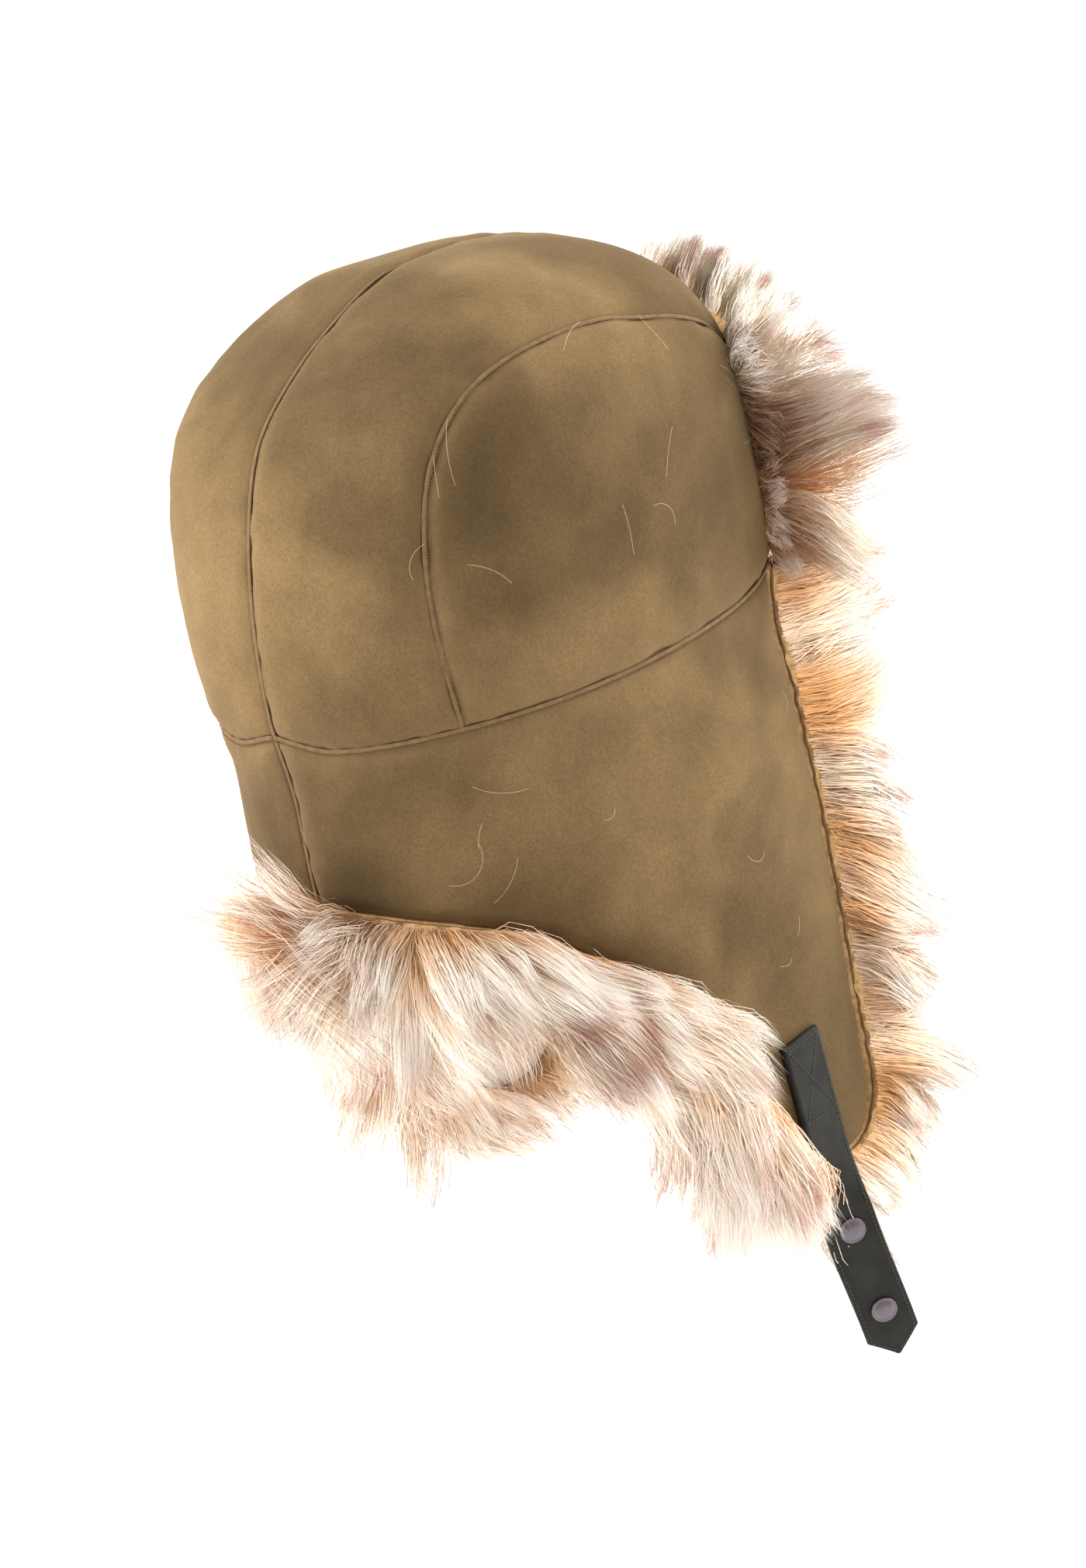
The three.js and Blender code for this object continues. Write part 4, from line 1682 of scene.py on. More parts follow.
@dataclass
class Fur:
    """Fur made of flat tapering strands, gathered in fine and coarse locks.

    Fine and coarse are the hairs in a lock, and the pulls say how far its hairs close up towards their tips.
    Sway bends a whole coarse lock and wave curls a fine one. Coat shading is how much of the light follows
    the coat in place of the single strand.
    """

    seed: int
    fine: int = 22
    coarse: int = 380
    fine_pull: float = 0.6
    coarse_pull: float = 0.54
    width: float = 0.26
    wave: float = 1.2
    sway: float = 3.2
    turns: float = 1.2
    lean: float = 0.2
    coat_shading: float = 0.86
    segments: int = 4

    def nearest(self, roots: Array, chosen: Array) -> Array:
        """The nearest of some chosen roots to every root.

        Args:
            roots: All roots.
            chosen: The indices of the chosen ones.

        Returns:
            The index of the nearest chosen root.
        """
        tree = KDTree(len(chosen))
        for index in chosen:
            tree.insert(roots[index], int(index))
        tree.balance()
        return np.array([tree.find(root)[1] for root in roots])

    def grow(self, coat: Coat, press: Callable[[Array], Array] | None = None) -> MeshData:
        """Grows the strands.

        Args:
            coat: The roots and how the hairs lie.
            press: Moves points away from what lies on the fur.

        Returns:
            The strands as one mesh.
        """
        rng = np.random.default_rng(self.seed)
        count = len(coat.roots)
        t = np.linspace(0, 1, self.segments + 1)[None, :, None]
        start = unit(coat.starts + rng.normal(0, self.lean, (count, 3)))[:, None]
        end = unit(coat.ends + rng.normal(0, self.lean * 1.3, (count, 3)))[:, None]
        coarse = self.nearest(coat.roots, rng.choice(count, max(count // self.coarse, 1), replace=False))
        tuft = rng.uniform(0.82, 1.14, count)[coarse]
        length = (coat.lengths * tuft * rng.uniform(0.6, 1.08, count))[:, None, None]
        line = coat.roots[:, None] + length * (start * (t - 0.5 * t**2) + end * (0.5 * t**2))
        fine = self.nearest(coat.roots, rng.choice(count, max(count // self.fine, 1), replace=False))
        beside = unit(np.cross(coat.normals, coat.ends))[:, None]
        roll = rng.uniform(0, TAU, count)[coarse][:, None, None]
        big = self.sway * rng.uniform(0.3, 1.3, count)[coarse][:, None, None] * np.minimum(length / 35.0, 1.0)
        line = line + big * (beside * (np.sin(roll + 4.6 * t) - np.sin(roll)) * t**0.7)
        line = line + big * 0.5 * coat.normals[:, None] * (np.cos(roll + 4.0 * t) - np.cos(roll)) * t
        line = line + self.coarse_pull * t**1.4 * (line[coarse] - line)
        line = line + self.fine_pull * t**0.8 * (line[fine] - line)
        phase = rng.uniform(0, TAU, count)[fine][:, None, None] + rng.normal(0, 0.35, (count, 1, 1))
        size = self.wave * rng.uniform(0.4, 1.5, count)[fine][:, None, None]
        swing = np.sin(phase + TAU * self.turns * t) - np.sin(phase)
        heave = np.cos(phase + TAU * self.turns * t) - np.cos(phase)
        line = line + size * t * (beside * swing + coat.normals[:, None] * heave * 0.6)
        line = line + rng.normal(0, 0.35, (count, self.segments + 1, 3)) * t
        if press is not None:
            line = press(line.reshape(-1, 3)).reshape(line.shape)
        return self.ribbons(coat, line, fine, rng)

    def ribbons(self, coat: Coat, line: Array, fine: Array, rng: np.random.Generator) -> MeshData:
        """Turns centre lines into ribbons that taper to a point.

        Args:
            coat: The roots and colours.
            line: The centre line of each strand.
            fine: The lock that each strand belongs to.
            rng: The source of chance.

        Returns:
            The mesh.
        """
        count, points = line.shape[:2]
        tangent = unit(np.gradient(line, axis=1))
        side = unit(np.cross(tangent, coat.normals[:, None]))
        face = np.cross(side, tangent)
        angle = rng.normal(0, 0.6, (count, 1, 1))
        side = side * np.cos(angle) + face * np.sin(angle)
        taper = np.array([1.0, 1.0, 0.85, 0.6, 0.0])[None, :, None]
        width = self.width * rng.uniform(0.75, 1.3, (count, 1, 1)) * taper / 2
        own = np.cross(side, tangent)
        shading = unit(coat.normals[:, None] * self.coat_shading + own * (1 - self.coat_shading))
        left = line - side * width
        right = line + side * width
        pairs = np.stack([left[:, :-1], right[:, :-1]], axis=2).reshape(count, -1, 3)
        whole = np.concatenate([pairs, line[:, -1:]], axis=1)
        per = 2 * (points - 1) + 1
        first = np.arange(count)[:, None, None] * per
        quads = np.array([[2 * k, 2 * k + 1, 2 * k + 3, 2 * k + 2] for k in range(points - 2)])
        end = np.array([[per - 3, per - 2, per - 1]])
        along = np.append(np.repeat(np.linspace(0, 1, points)[:-1], 2), 1.0)
        locks, order = np.unique(fine, return_inverse=True)
        cells = math.ceil(math.sqrt(len(locks)))
        corner = np.stack([order % cells, order // cells], axis=1)[:, None, :]
        inside = np.stack(
            [np.broadcast_to(rng.uniform(0.1, 0.9, (count, 1)), (count, per)),
             np.broadcast_to(0.1 + 0.8 * along, (count, per))], axis=2
        )
        shift = rng.normal(0, 0.05, (count, 1))
        attributes = {"along": np.clip(along[None] + shift, 0, 1)}
        for name, low, high in (("tone", 0.7, 1.1), ("tip", 0.6, 1.1), ("smoke", 0.6, 1.2)):
            values = getattr(coat, name)[fine][:, None] * rng.uniform(low, high, (count, 1))
            attributes[name] = np.broadcast_to(values, (count, per))
        normals = np.concatenate([np.repeat(shading[:, :-1], 2, axis=1), shading[:, -1:]], axis=1)
        return MeshData(
            whole.reshape(-1, 3),
            [(first + quads).reshape(-1, 4), (first + end).reshape(-1, 3)],
            {name: np.clip(values, 0, 1).ravel() for name, values in attributes.items()},
            {"OFBake": ((corner + inside) / cells).reshape(-1, 2)},
            normals=normals.reshape(-1, 3),
        )


def split(coat: Coat, parts: int) -> list[Coat]:
    """Splits a coat into parts that lie side by side.

    Args:
        coat: The coat, with its roots in order along it.
        parts: How many parts.

    Returns:
        The parts.
    """
    chunks = np.array_split(np.arange(len(coat.roots)), parts)
    return [Coat(*(getattr(coat, item.name)[chunk] for item in fields(Coat))) for chunk in chunks]


@dataclass
class FurTrim:
    """The band of long fur along the hem and up the flap's front edge."""

    cut: Cut
    step: float = 2.0
    smoothing: int = 7
    upper_share: float = 0.52
    overcast: float = 68.0
    strip_shape: tuple[tuple[float, float], ...] = (
        (0.3, 0.4), (0.5, 1.5), (1.0, 2.1), (1.7, 2.3), (2.4, 2.1), (2.6, 0.6),
    )

    def __post_init__(self) -> None:
        """Lays the border and its directions."""
        form = self.cut.form
        path = self.cut.border(self.step)
        last = len(path) - 1
        index = np.arange(len(path))
        before = path[np.abs(index - self.smoothing)]
        before[index < self.smoothing, 0] *= -1.0
        after = path[np.minimum(index + self.smoothing, last)]
        self.path = path
        self.along = unit(after - before)
        self.normal = form.normal(path)
        self.out = unit(np.cross(self.along, self.normal))
        self.part = index / last

    def at(self, place: Array) -> tuple[Array, Array, Array, Array]:
        """The border's point and directions at places along it.

        Args:
            place: From 0 at the centre back to 1 at the top of the front edge.

        Returns:
            The points and the along, normal and outward directions.
        """
        found = [
            np.stack([np.interp(place, self.part, values[:, k]) for k in range(3)], axis=1)
            for values in (self.path, self.along, self.normal, self.out)
        ]
        return found[0], unit(found[1]), unit(found[2]), unit(found[3])

    def section(self, place: Array, round_it: Array) -> tuple[Array, Array, Array]:
        """Points of the backing roll.

        Args:
            place: The place along the border.
            round_it: The place round the roll, in rows of its table.

        Returns:
            The points, the direction away from the roll's middle, and the fur's reach there.
        """
        rows = np.arange(len(TRIM_SECTION))
        out = np.interp(round_it, rows, [row.out for row in TRIM_SECTION])
        lift = np.interp(round_it, rows, [row.lift for row in TRIM_SECTION])
        reach = np.interp(round_it, rows, [row.reach for row in TRIM_SECTION])
        point, _, normal, outward = self.at(place)
        spot = point + outward * out[:, None] + normal * lift[:, None]
        centre = point + outward * 2 - normal * 4
        return spot, unit(spot - centre), reach

    def backing(self) -> MeshData:
        """The hide that the fur grows on.

        Returns:
            Its mesh.
        """
        rows = len(TRIM_SECTION)
        stations = len(self.path)
        place = np.repeat(self.part, rows)
        spot, away, _ = self.section(place, np.tile(np.arange(rows, dtype=float), stations))
        points = spot + away * (Wobble(21, 9.0)(spot) * 0.5 - 0.7)[:, None]
        return tube(points.reshape(stations, rows, 3))

    def coat(self, count: int, seed: int) -> Coat:
        """How the fur grows on the roll.

        Args:
            count: How many strands.
            seed: The seed of chance.

        Returns:
            The coat.
        """
        rng = np.random.default_rng(seed)
        place = np.sort(rng.uniform(0, 1, count))
        upper_roots = rng.beta(1.1, 1.6, count) * 4.5
        is_upper = rng.uniform(0, 1, count) < self.upper_share
        round_it = np.where(is_upper, upper_roots, rng.uniform(3, 8, count))
        spot, away, reach = self.section(place, round_it)
        _, along, normal, outward = self.at(place)
        flow = {
            name: table_value(TRIM_FLOW, "part", name, place)[:, None]
            for name in ("upper", "lower", "comb", "over", "flat", "tone", "tip")
        }
        drift = Wobble(31, 60.0)(spot)[:, None]
        patches = Wobble(32, 38.0)(spot)
        upper = smoothstep(-4, 3, (spot * normal).sum(1) - (self.at(place)[0] * normal).sum(1))[:, None]
        low_lift = smoothstep(0.1, 0.0, place)[:, None]
        start = unit(away * (1 - 0.55 * flow["flat"] * upper) + outward * 0.5 * flow["flat"] * upper)
        start = unit(start + along * flow["comb"] * 0.5 - outward * flow["over"] * upper)
        end = unit(
            away * (0.6 - 0.35 * flow["flat"] * upper)
            + outward * (0.65 - 0.45 * low_lift)
            + along * (1.15 * flow["comb"] + 0.4 * drift)
            - UP * (0.3 - 0.25 * low_lift)
            - outward * flow["over"] * upper * 1.1
        )
        factor = flow["upper"] * upper + flow["lower"] * (1 - upper)
        factor = factor * (1 + 0.25 * np.abs(flow["comb"]))
        length = (reach + 1.5)[:, None] * factor * (1.0 + 0.14 * patches[:, None])
        tone = flow["tone"][:, 0] * (0.8 + 0.45 * Wobble(33, 34.0)(spot))
        tip = flow["tip"][:, 0] * (0.1 + 1.3 * smoothstep(0.1, 0.5, Wobble(34, 17.0)(spot)))
        root = spot - away * 1.2
        return Coat(root, away, start, end, length[:, 0], tone, tip, np.zeros(count))

    def strip(self, side: Side, tape: Material, thread: Material) -> None:
        """The trim's sewn edge, a narrow strip with a row of overcast stitches.

        Args:
            side: The wearer's side.
            tape: The strip's material.
            thread: The stitches' material.
        """
        seams = Seams(self.cut.form)
        lift = 0.25 * Wobble(23, 7.0)(self.path)[:, None]
        ring = [self.path + self.out * o + self.normal * (h + lift) for o, h in self.strip_shape]
        row = self.path + self.out * 1.3 + self.normal * 0.1
        pieces = {
            "strip": (tube(np.stack(ring, axis=1)), tape),
            "stitches": (seams.stitches(row, 0.0, self.overcast, 2.2), thread),
        }
        for name, (data, material) in pieces.items():
            made = make_object(f"trim_{name}_{side.value}", side.turned(data), [material])
            place_piece(made, "fur", f"fur_trim_{side.value}")

    def build(
        self,
        right: int,
        left: int,
        skin: Material,
        fur: Material,
        tape: Material,
        thread: Material,
        press: Callable[[Array], Array],
    ) -> None:
        """Makes the trim of both sides.

        Args:
            right: How many strands the right side gets.
            left: How many strands the left side gets.
            skin: The backing's material.
            fur: The strands' material.
            tape: The sewn strip's material.
            thread: The stitches' material.
            press: Presses the right side's fur under the strap.
        """
        backing = self.backing()
        for side, count, parts, seed in ((Side.RIGHT, right, 2, 41), (Side.LEFT, left, 1, 42)):
            node = f"fur_trim_{side.value}"
            made = make_object(f"trim_backing_{side.value}", side.turned(backing), [skin])
            place_piece(made, "fur", node)
            self.strip(side, tape, thread)
            for k, coat in enumerate(split(self.coat(count, seed), parts)):
                strands = side.turned(Fur(seed=50 + k).grow(coat, press if side is Side.RIGHT else None))
                place_piece(make_object(f"trim_fur_{side.value}_{k + 1}", strands, [fur]), "fur", node)


@dataclass
class InsideWool:
    """The clipped wool of the panels' inner side."""

    cut: Cut
    depth: float = 6.3
    length: float = 7.5
    tone: float = 0.12

    def coat(self, count: int) -> Coat:
        """How the wool grows on one half of the hat.

        Args:
            count: How many strands.

        Returns:
            The coat.
        """
        rng = np.random.default_rng(81)
        grids = (self.cut.flap(80, 48), self.cut.crown_side(3), self.cut.crown_centre(3, 18))
        spots = np.vstack([grid[2:-2, 2:-2].reshape(-1, 3) for grid in grids])
        picked = spots[np.sort(rng.integers(0, len(spots), count))]
        near = self.cut.form.onto(picked + rng.normal(0, 1.6, picked.shape))
        near[:, 0] = np.minimum(near[:, 0], -0.5)
        inward = -self.cut.form.normal(near)
        root = self.cut.form.over(near, -self.depth)
        start = unit(inward + rng.normal(0, 0.35, root.shape))
        end = unit(inward * 0.5 + rng.normal(0, 0.6, root.shape))
        length = np.full(count, self.length)
        nothing = np.zeros(count)
        return Coat(root, inward, start, end, length, np.full(count, self.tone), nothing, nothing)

    def build(self, count: int, fur: Material) -> None:
        """Makes the wool of both sides.

        Args:
            count: How many strands each side gets.
            fur: The strands' material.
        """
        wool = Fur(seed=82, fine=9, coarse=60, fine_pull=0.6, width=0.9, wave=1.0, lean=0.4)
        strands = wool.grow(self.coat(count))
        for side in Side:
            place_piece(make_object(f"inside_wool_{side.value}", side.turned(strands), [fur]), "suede")


@dataclass
class StrayHairs:
    """Single shed hairs that lie on the suede."""

    cut: Cut
    count: int = 16
    width: float = 0.07
    lengths: tuple[float, float] = (6.0, 26.0)
    steps: int = 10

    def build(self, fur: Material) -> None:
        """Makes the hairs.

        Args:
            fur: Their material.
        """
        rng = np.random.default_rng(91)
        form = self.cut.form
        grid = np.concatenate([g.reshape(-1, 3) for g in (self.cut.flap(60, 36), self.cut.crown_side(3))])
        arch = self.cut.arch(140)[20:90]
        on_arch = arch[rng.integers(0, len(arch), self.count // 3)]
        starts = [*on_arch, *grid[rng.integers(0, len(grid), self.count)]]
        parts = []
        for spot in starts:
            normal = form.normal(form.onto(spot[None]))[0]
            heading = unit(np.cross(normal, rng.normal(size=3)))
            length = rng.uniform(*self.lengths)
            turn = rng.normal(0, 1.1) / self.steps
            points = [spot]
            for _ in range(self.steps):
                heading = unit(heading * math.cos(turn) + np.cross(normal, heading) * math.sin(turn))
                points.append(points[-1] + heading * length / self.steps)
            lift = 0.75 + 1.2 * np.sin(np.linspace(0, math.pi, self.steps + 1)) * rng.uniform(0.1, 1.0)
            line = form.over(np.array(points), lift)
            side = unit(np.cross(np.gradient(line, axis=0), normal)) * self.width / 2
            pairs = np.stack([line - side, line + side], axis=1).reshape(-1, 3)
            values = {"along": 0.45, "tone": 0.8, "tip": 0.0, "smoke": 0.0}
            attributes = {name: np.full(len(pairs), value) for name, value in values.items()}
            parts.append(MeshData(pairs, [grid_faces(self.steps + 1, 2)], attributes))
        both = MeshData.joined([MeshData.joined(parts), MeshData.joined(parts[::2]).mirrored()])
        place_piece(make_object("stray_hairs", both, [fur]), "fur")


@dataclass
class FrontFlap:
    """The turned-up front flap, all long fur outwards."""

    form: HatForm
    start: float = 138.0
    end: float = 222.0
    bottom: float = 9.0
    top: float = 88.0
    corner_drop: float = 12.0
    clearance: float = 0.6
    thickness: float = 5.0
    across_points: int = 70
    upward_points: int = 40
    reach: float = 52.0
    edge_reach: float = 34.0

    def spot(self, u: Array, v: Array, height: float) -> tuple[Array, Array]:
        """A point of the flap.

        Args:
            u: From 0 to 1 across the flap.
            v: From 0 to 1 up the flap.
            height: The height over the suede.

        Returns:
            The points and the outward directions.
        """
        turn = self.start + (self.end - self.start) * u
        crown = self.top - self.corner_drop * np.abs(2 * u - 1) ** 4
        base = self.form.at_turn(turn, self.bottom + (crown - self.bottom) * v)
        return self.form.over(base, height), self.form.normal(base)

    def backing(self) -> MeshData:
        """The flap's hide.

        Returns:
            Its mesh.
        """
        rows, columns = np.linspace(0, 1, self.upward_points), np.linspace(0, 1, self.across_points)
        v, u = np.meshgrid(rows, columns, indexing="ij")
        heights = (self.clearance + self.thickness - 1.0, self.clearance)
        outer, inner = (self.spot(u.ravel(), v.ravel(), height)[0] for height in heights)
        return slab(outer.reshape(*u.shape, 3), inner.reshape(*u.shape, 3))

    def coat(self, count: int) -> Coat:
        """How the fur grows on the flap.

        Args:
            count: How many strands.

        Returns:
            The coat.
        """
        rng = np.random.default_rng(61)
        u = np.sort(rng.uniform(0, 1, count))
        v = rng.uniform(0, 1, count)
        edge = rng.uniform(0, 1, count) < 0.16
        v = np.where(edge, 1.0 - 0.04 * v, v)
        root, normal = self.spot(u, v, self.clearance + self.thickness - 1.6)
        side = unit(np.cross(UP, normal))
        whorl = self.whorl(root)
        fan = (2 * u - 1) ** 5 * 0.5
        fan = np.where(np.abs(2 * u - 1) > 0.9, fan * 1.6, fan)
        rise = 0.25 + 0.85 * smoothstep(0.75, 1.0, v) - 0.9 * smoothstep(0.3, 0.0, v)
        start = unit(normal + side * fan[:, None] * 0.8 + UP * rise[:, None])
        sag = rise - 0.35
        swirl = Wobble(62, 45.0)(root)[:, None]
        end = unit(normal + side * (fan[:, None] + 0.3 * swirl) + UP * sag[:, None])
        length = self.reach + (self.edge_reach - self.reach) * smoothstep(0.8, 1.0, v)
        length = length * (1 + 0.1 * Wobble(63, 30.0)(root)) * (1.25 - 0.25 * smoothstep(0.2, 0.5, v))
        near = smoothstep(0.22, 0.03, np.minimum(u, 1 - u)) * smoothstep(0.8, 0.6, v)
        tone = np.clip(0.25 + 0.85 * Wobble(64, 34.0)(root) + 0.9 * near, 0, 1)
        russet = smoothstep(0.15, 0.5, Wobble(65, 15.0)(root))
        tip = 0.08 + 1.25 * russet * (1 - 0.6 * smoothstep(0.75, 1.0, v))
        smoke = 0.25 * whorl * smoothstep(-86.0, -82.0, root[:, 1])
        lit = unit(normal + UP * 1.2 * smoothstep(0.65, 1.0, v)[:, None])
        return Coat(root, lit, start, end, length, tone, tip, smoke)

    @staticmethod
    def whorl(root: Array) -> Array:
        """How much a place belongs to the dark curly whorl at the flap's right edge.

        Args:
            root: The places.

        Returns:
            From 0 to 1.
        """
        turned = np.abs(root[:, 0]) < 60
        away = (root[:, 2] - 54.0) / 13.0
        return np.where(turned, 0.0, np.exp(-(away**2))) * smoothstep(-92.0, -84.0, root[:, 1])

    def edge_coat(self, count: int) -> Coat:
        """How the short curly fur grows on the flap's two side edges and on its four corners.

        Args:
            count: How many strands.

        Returns:
            The coat.
        """
        rng = np.random.default_rng(68)
        chance = rng.uniform(0, 1, count)
        near_top = chance < 0.2
        near_foot = chance > 0.7
        inset = np.where(near_top | near_foot, rng.uniform(0, 0.12, count), 0.0)
        u = np.where(np.arange(count) < count // 2, inset, 1.0 - inset)
        v = np.where(near_top, 1.0, np.where(near_foot, 0.0, rng.uniform(0, 1, count)))
        height = rng.uniform(self.clearance, self.clearance + self.thickness, count)
        base, normal = self.spot(u, v, 0.0)
        root = base + normal * (height - 1.0)[:, None]
        out = unit(np.cross(UP, normal)) * (2 * u - 1)[:, None]
        root = root - out * 0.8 - UP * 2.0 * near_foot[:, None]
        drift = Wobble(69, 20.0)(root)[:, None]
        rise = (0.8 * smoothstep(0.9, 1.0, v) - 1.1 * near_foot)[:, None]
        start = unit(out + normal * 0.55 + UP * (0.2 * drift + rise))
        end = unit(out * 0.35 + normal * 0.9 + UP * (0.5 * drift - 0.2 + rise))
        length = rng.uniform(7, 19, count) * (1 + 0.3 * self.whorl(root))
        length = length * (1 + 0.9 * smoothstep(0.75, 1.0, v) + 0.4 * near_foot)
        low = smoothstep(0.7, 0.45, v)
        smoke = np.clip(1.7 * self.whorl(root) - 0.15 + 0.5 * low, 0, 0.9)
        tone = np.clip(0.05 + 1.2 * low + 0.6 * self.whorl(root), 0, 1)
        lit = unit(out + normal + UP * 0.6)
        return Coat(root, lit, start, end, length, tone, np.zeros(count), smoke)

    def build(self, count: int, edge_count: int, skin: Material, fur: Material) -> None:
        """Makes the flap.

        Args:
            count: How many strands its face gets.
            edge_count: How many strands its edges get.
            skin: The hide's material.
            fur: The strands' material.
        """
        curly = Fur(seed=71, fine=9, coarse=90, fine_pull=0.5, coarse_pull=0.45, width=0.2, wave=1.5,
                    sway=2.0, coat_shading=0.7)
        pieces = {
            "hide": (self.backing(), skin),
            "fur": (Fur(seed=70).grow(self.coat(count)), fur),
            "edge_fur": (curly.grow(self.edge_coat(edge_count)), fur),
        }
        for name, (data, material) in pieces.items():
            place_piece(make_object(f"front_flap_{name}", data, [material]), "fur", "front_flap")


# Strap and snaps


def surface_frame(form: HatForm, turn: float, z: float) -> Array:
    """A frame on the suede: x towards the back on the wearer's right, y down, z away from the head.

    Args:
        form: The hat's form.
        turn: The turn, in degrees.
        z: The height.

    Returns:
        The frame's 4x4 matrix.
    """
    origin = form.at_turn(np.array([turn]), np.array([z]))
    normal = form.normal(origin)[0]
    down = unit(normal * normal[2] - UP)
    place = np.eye(4)
    place[:3, 0] = unit(np.cross(down, normal))
    place[:3, 1] = down
    place[:3, 2] = normal
    place[:3, 3] = origin[0]
    return place


@dataclass
class Strap:
    """The leather chin strap with its two snaps."""

    form: HatForm
    width: float = 21.0
    thickness: float = 3.0
    length: float = 134.0
    tip_height: float = 8.5
    tip_flat: float = 2.0
    turn: float = 96.8
    top_z: float = -158.0
    patch_end: float = 34.0
    snaps_from_tip: tuple[float, float] = (20.5, 57.0)
    cap_radius: float = 5.1
    cap_height: float = 1.8
    socket_radius: float = 4.8
    post_radius: float = 2.0
    gap: float = 0.3
    stud_z: float = -178.0
    stud_lift: float = 0.45
    edge_radius: float = 0.9
    stitch: tuple[float, float, float] = (1.35, 0.42, 0.28)
    stitch_pitch: float = 1.9
    pressed_to: float = -2.4
    pressed_from: float = 30.0
    over_rear: tuple[tuple[float, float], ...] = (
        (0, 12), (36, 12), (50, 2), (62, -2), (80, -1), (90, 12), (134, 12),
    )

    def __post_init__(self) -> None:
        """Places the strap on the flap."""
        self.place = surface_frame(self.form, self.turn, self.top_z)
        self.stations = np.array([self.frame_at(float(along)) for along in range(int(self.length) + 1)])

    def press(self, points: Array) -> Array:
        """Presses fur under the strap, apart from what lies over its rear edge.

        Args:
            points: Points of the fur.

        Returns:
            The moved points.
        """
        along = (points - self.place[:3, 3]) @ self.place[:3, 1]
        here = self.stations[np.clip(np.round(along), 0, self.length).astype(int)]
        away = points - here[:, :3, 3]
        across = np.einsum("ij,ij->i", away, here[:, :3, 0])
        out = np.einsum("ij,ij->i", away, here[:, :3, 2])
        rear = np.interp(along, *zip(*self.over_rear))
        inside = (along > -4) & (along < self.length + 2)
        inside &= (across > -self.width / 2 - 2.5) & (across < rear)
        inside &= (out > self.pressed_to) & (out < self.pressed_from)
        down = np.where(inside, out - self.pressed_to + 0.04 * np.maximum(out, 0), 0.0)
        return points - here[:, :3, 2] * down[:, None]

    def frame_at(self, along: float) -> Array:
        """The strap's frame at a distance along it: x across, y along, z out of its face.

        Args:
            along: The distance.

        Returns:
            The 4x4 matrix in the hat's frame.
        """
        def middle(distance: float) -> Array:
            """The strap's middle at a distance."""
            forward = float(table_value(STRAP_ROUTE, "along", "forward", distance))
            return np.array([-forward, distance, float(table_value(STRAP_ROUTE, "along", "lift", distance))])

        behind = middle(max(along - 1.0, 0.0))
        direction = unit(middle(min(along + 1.0, self.length)) - behind)
        twist = math.radians(float(table_value(STRAP_ROUTE, "along", "twist", along)))
        across = np.array([math.cos(twist), 0.0, -math.sin(twist)])
        face = unit(np.cross(across, direction))
        across = unit(np.cross(direction, face))
        local = np.eye(4)
        local[:3, 0], local[:3, 1], local[:3, 2] = across, direction, face
        local[:3, 3] = middle(along)
        return self.place @ local

    def half_at(self, along: float) -> float:
        """Half the strap's width at a distance along it.

        Args:
            along: The distance.

        Returns:
            The half width.
        """
        left = max(self.length - along, 0.0) / self.tip_height
        narrow = self.tip_flat / 2
        return min(self.width / 2, narrow + (self.width / 2 - narrow) * left)

    def body(self) -> MeshData:
        """The strap's leather, with rounded edges.

        Returns:
            Its mesh.
        """
        tip = np.linspace(self.length - self.tip_height, self.length, 12)
        stations = np.concatenate([[0.0, 0.5], np.arange(1.5, self.length - 9, 1.5), tip])
        edge = np.radians(np.linspace(-90, 90, 7))
        bulge, rise = self.edge_radius * np.cos(edge), np.sin(edge)
        rings = []
        for along in stations:
            ease = min(1.0, math.sqrt(max(along, 0.02) / 0.8))
            half = max(self.half_at(along) - self.edge_radius, 0.2)
            high = self.thickness / 2 * (0.55 + 0.45 * ease)
            inner = np.linspace(-half, half, 9)[1:-1]
            right = np.stack([half + bulge, 0 * bulge, high * rise], axis=1)
            top = np.stack([inner[::-1], 0 * inner, 0 * inner + high], axis=1)
            ring = np.vstack([right, top, -right, -top])
            here = self.frame_at(along)
            rings.append(ring @ here[:3, :3].T + here[:3, 3])
        return tube(np.array(rings))

    def stitch_lines(self) -> list[tuple[Array, Array]]:
        """The ends of the strap's stitch lines, across and along it.

        Returns:
            Pairs of points.
        """
        side, top, end = self.width / 2 - 1.7, 1.8, self.patch_end - 1.5
        box = [((-side, top), (side, top)), ((side, top), (side, end)), ((side, end), (-side, end)),
               ((-side, end), (-side, top)), ((-side, top), (side, end)), ((side, top), (-side, end))]
        foot = self.length - self.tip_height
        edges = [((-side, end), (-side, foot)), ((side, end), (side, foot)),
                 ((-side, foot), (-0.6, self.length - 1.9)), ((side, foot), (0.6, self.length - 1.9))]
        return [(np.array(a), np.array(b)) for a, b in box + edges]

    def stitches(self) -> MeshData:
        """The strap's stitches, on its face.

        Returns:
            Their mesh.
        """
        rows = []
        for a, b in self.stitch_lines():
            length = float(np.linalg.norm(b - a))
            count = max(round(length / self.stitch_pitch), 1)
            run = (b - a) / length
            for k in range(count):
                x, y = a + (b - a) * (k + 0.5) / count
                here = self.frame_at(float(y))
                local = np.array([[x, 0, self.thickness / 2], [*run, 0], [-run[1], run[0], 0], UP])
                turned = local @ here[:3, :3].T
                turned[0] += here[:3, 3]
                rows.append(turned)
        middle, along, across, up = np.array(rows).transpose(1, 0, 2)
        return stitch_boxes(middle, along, across, up, self.stitch, 0.65)

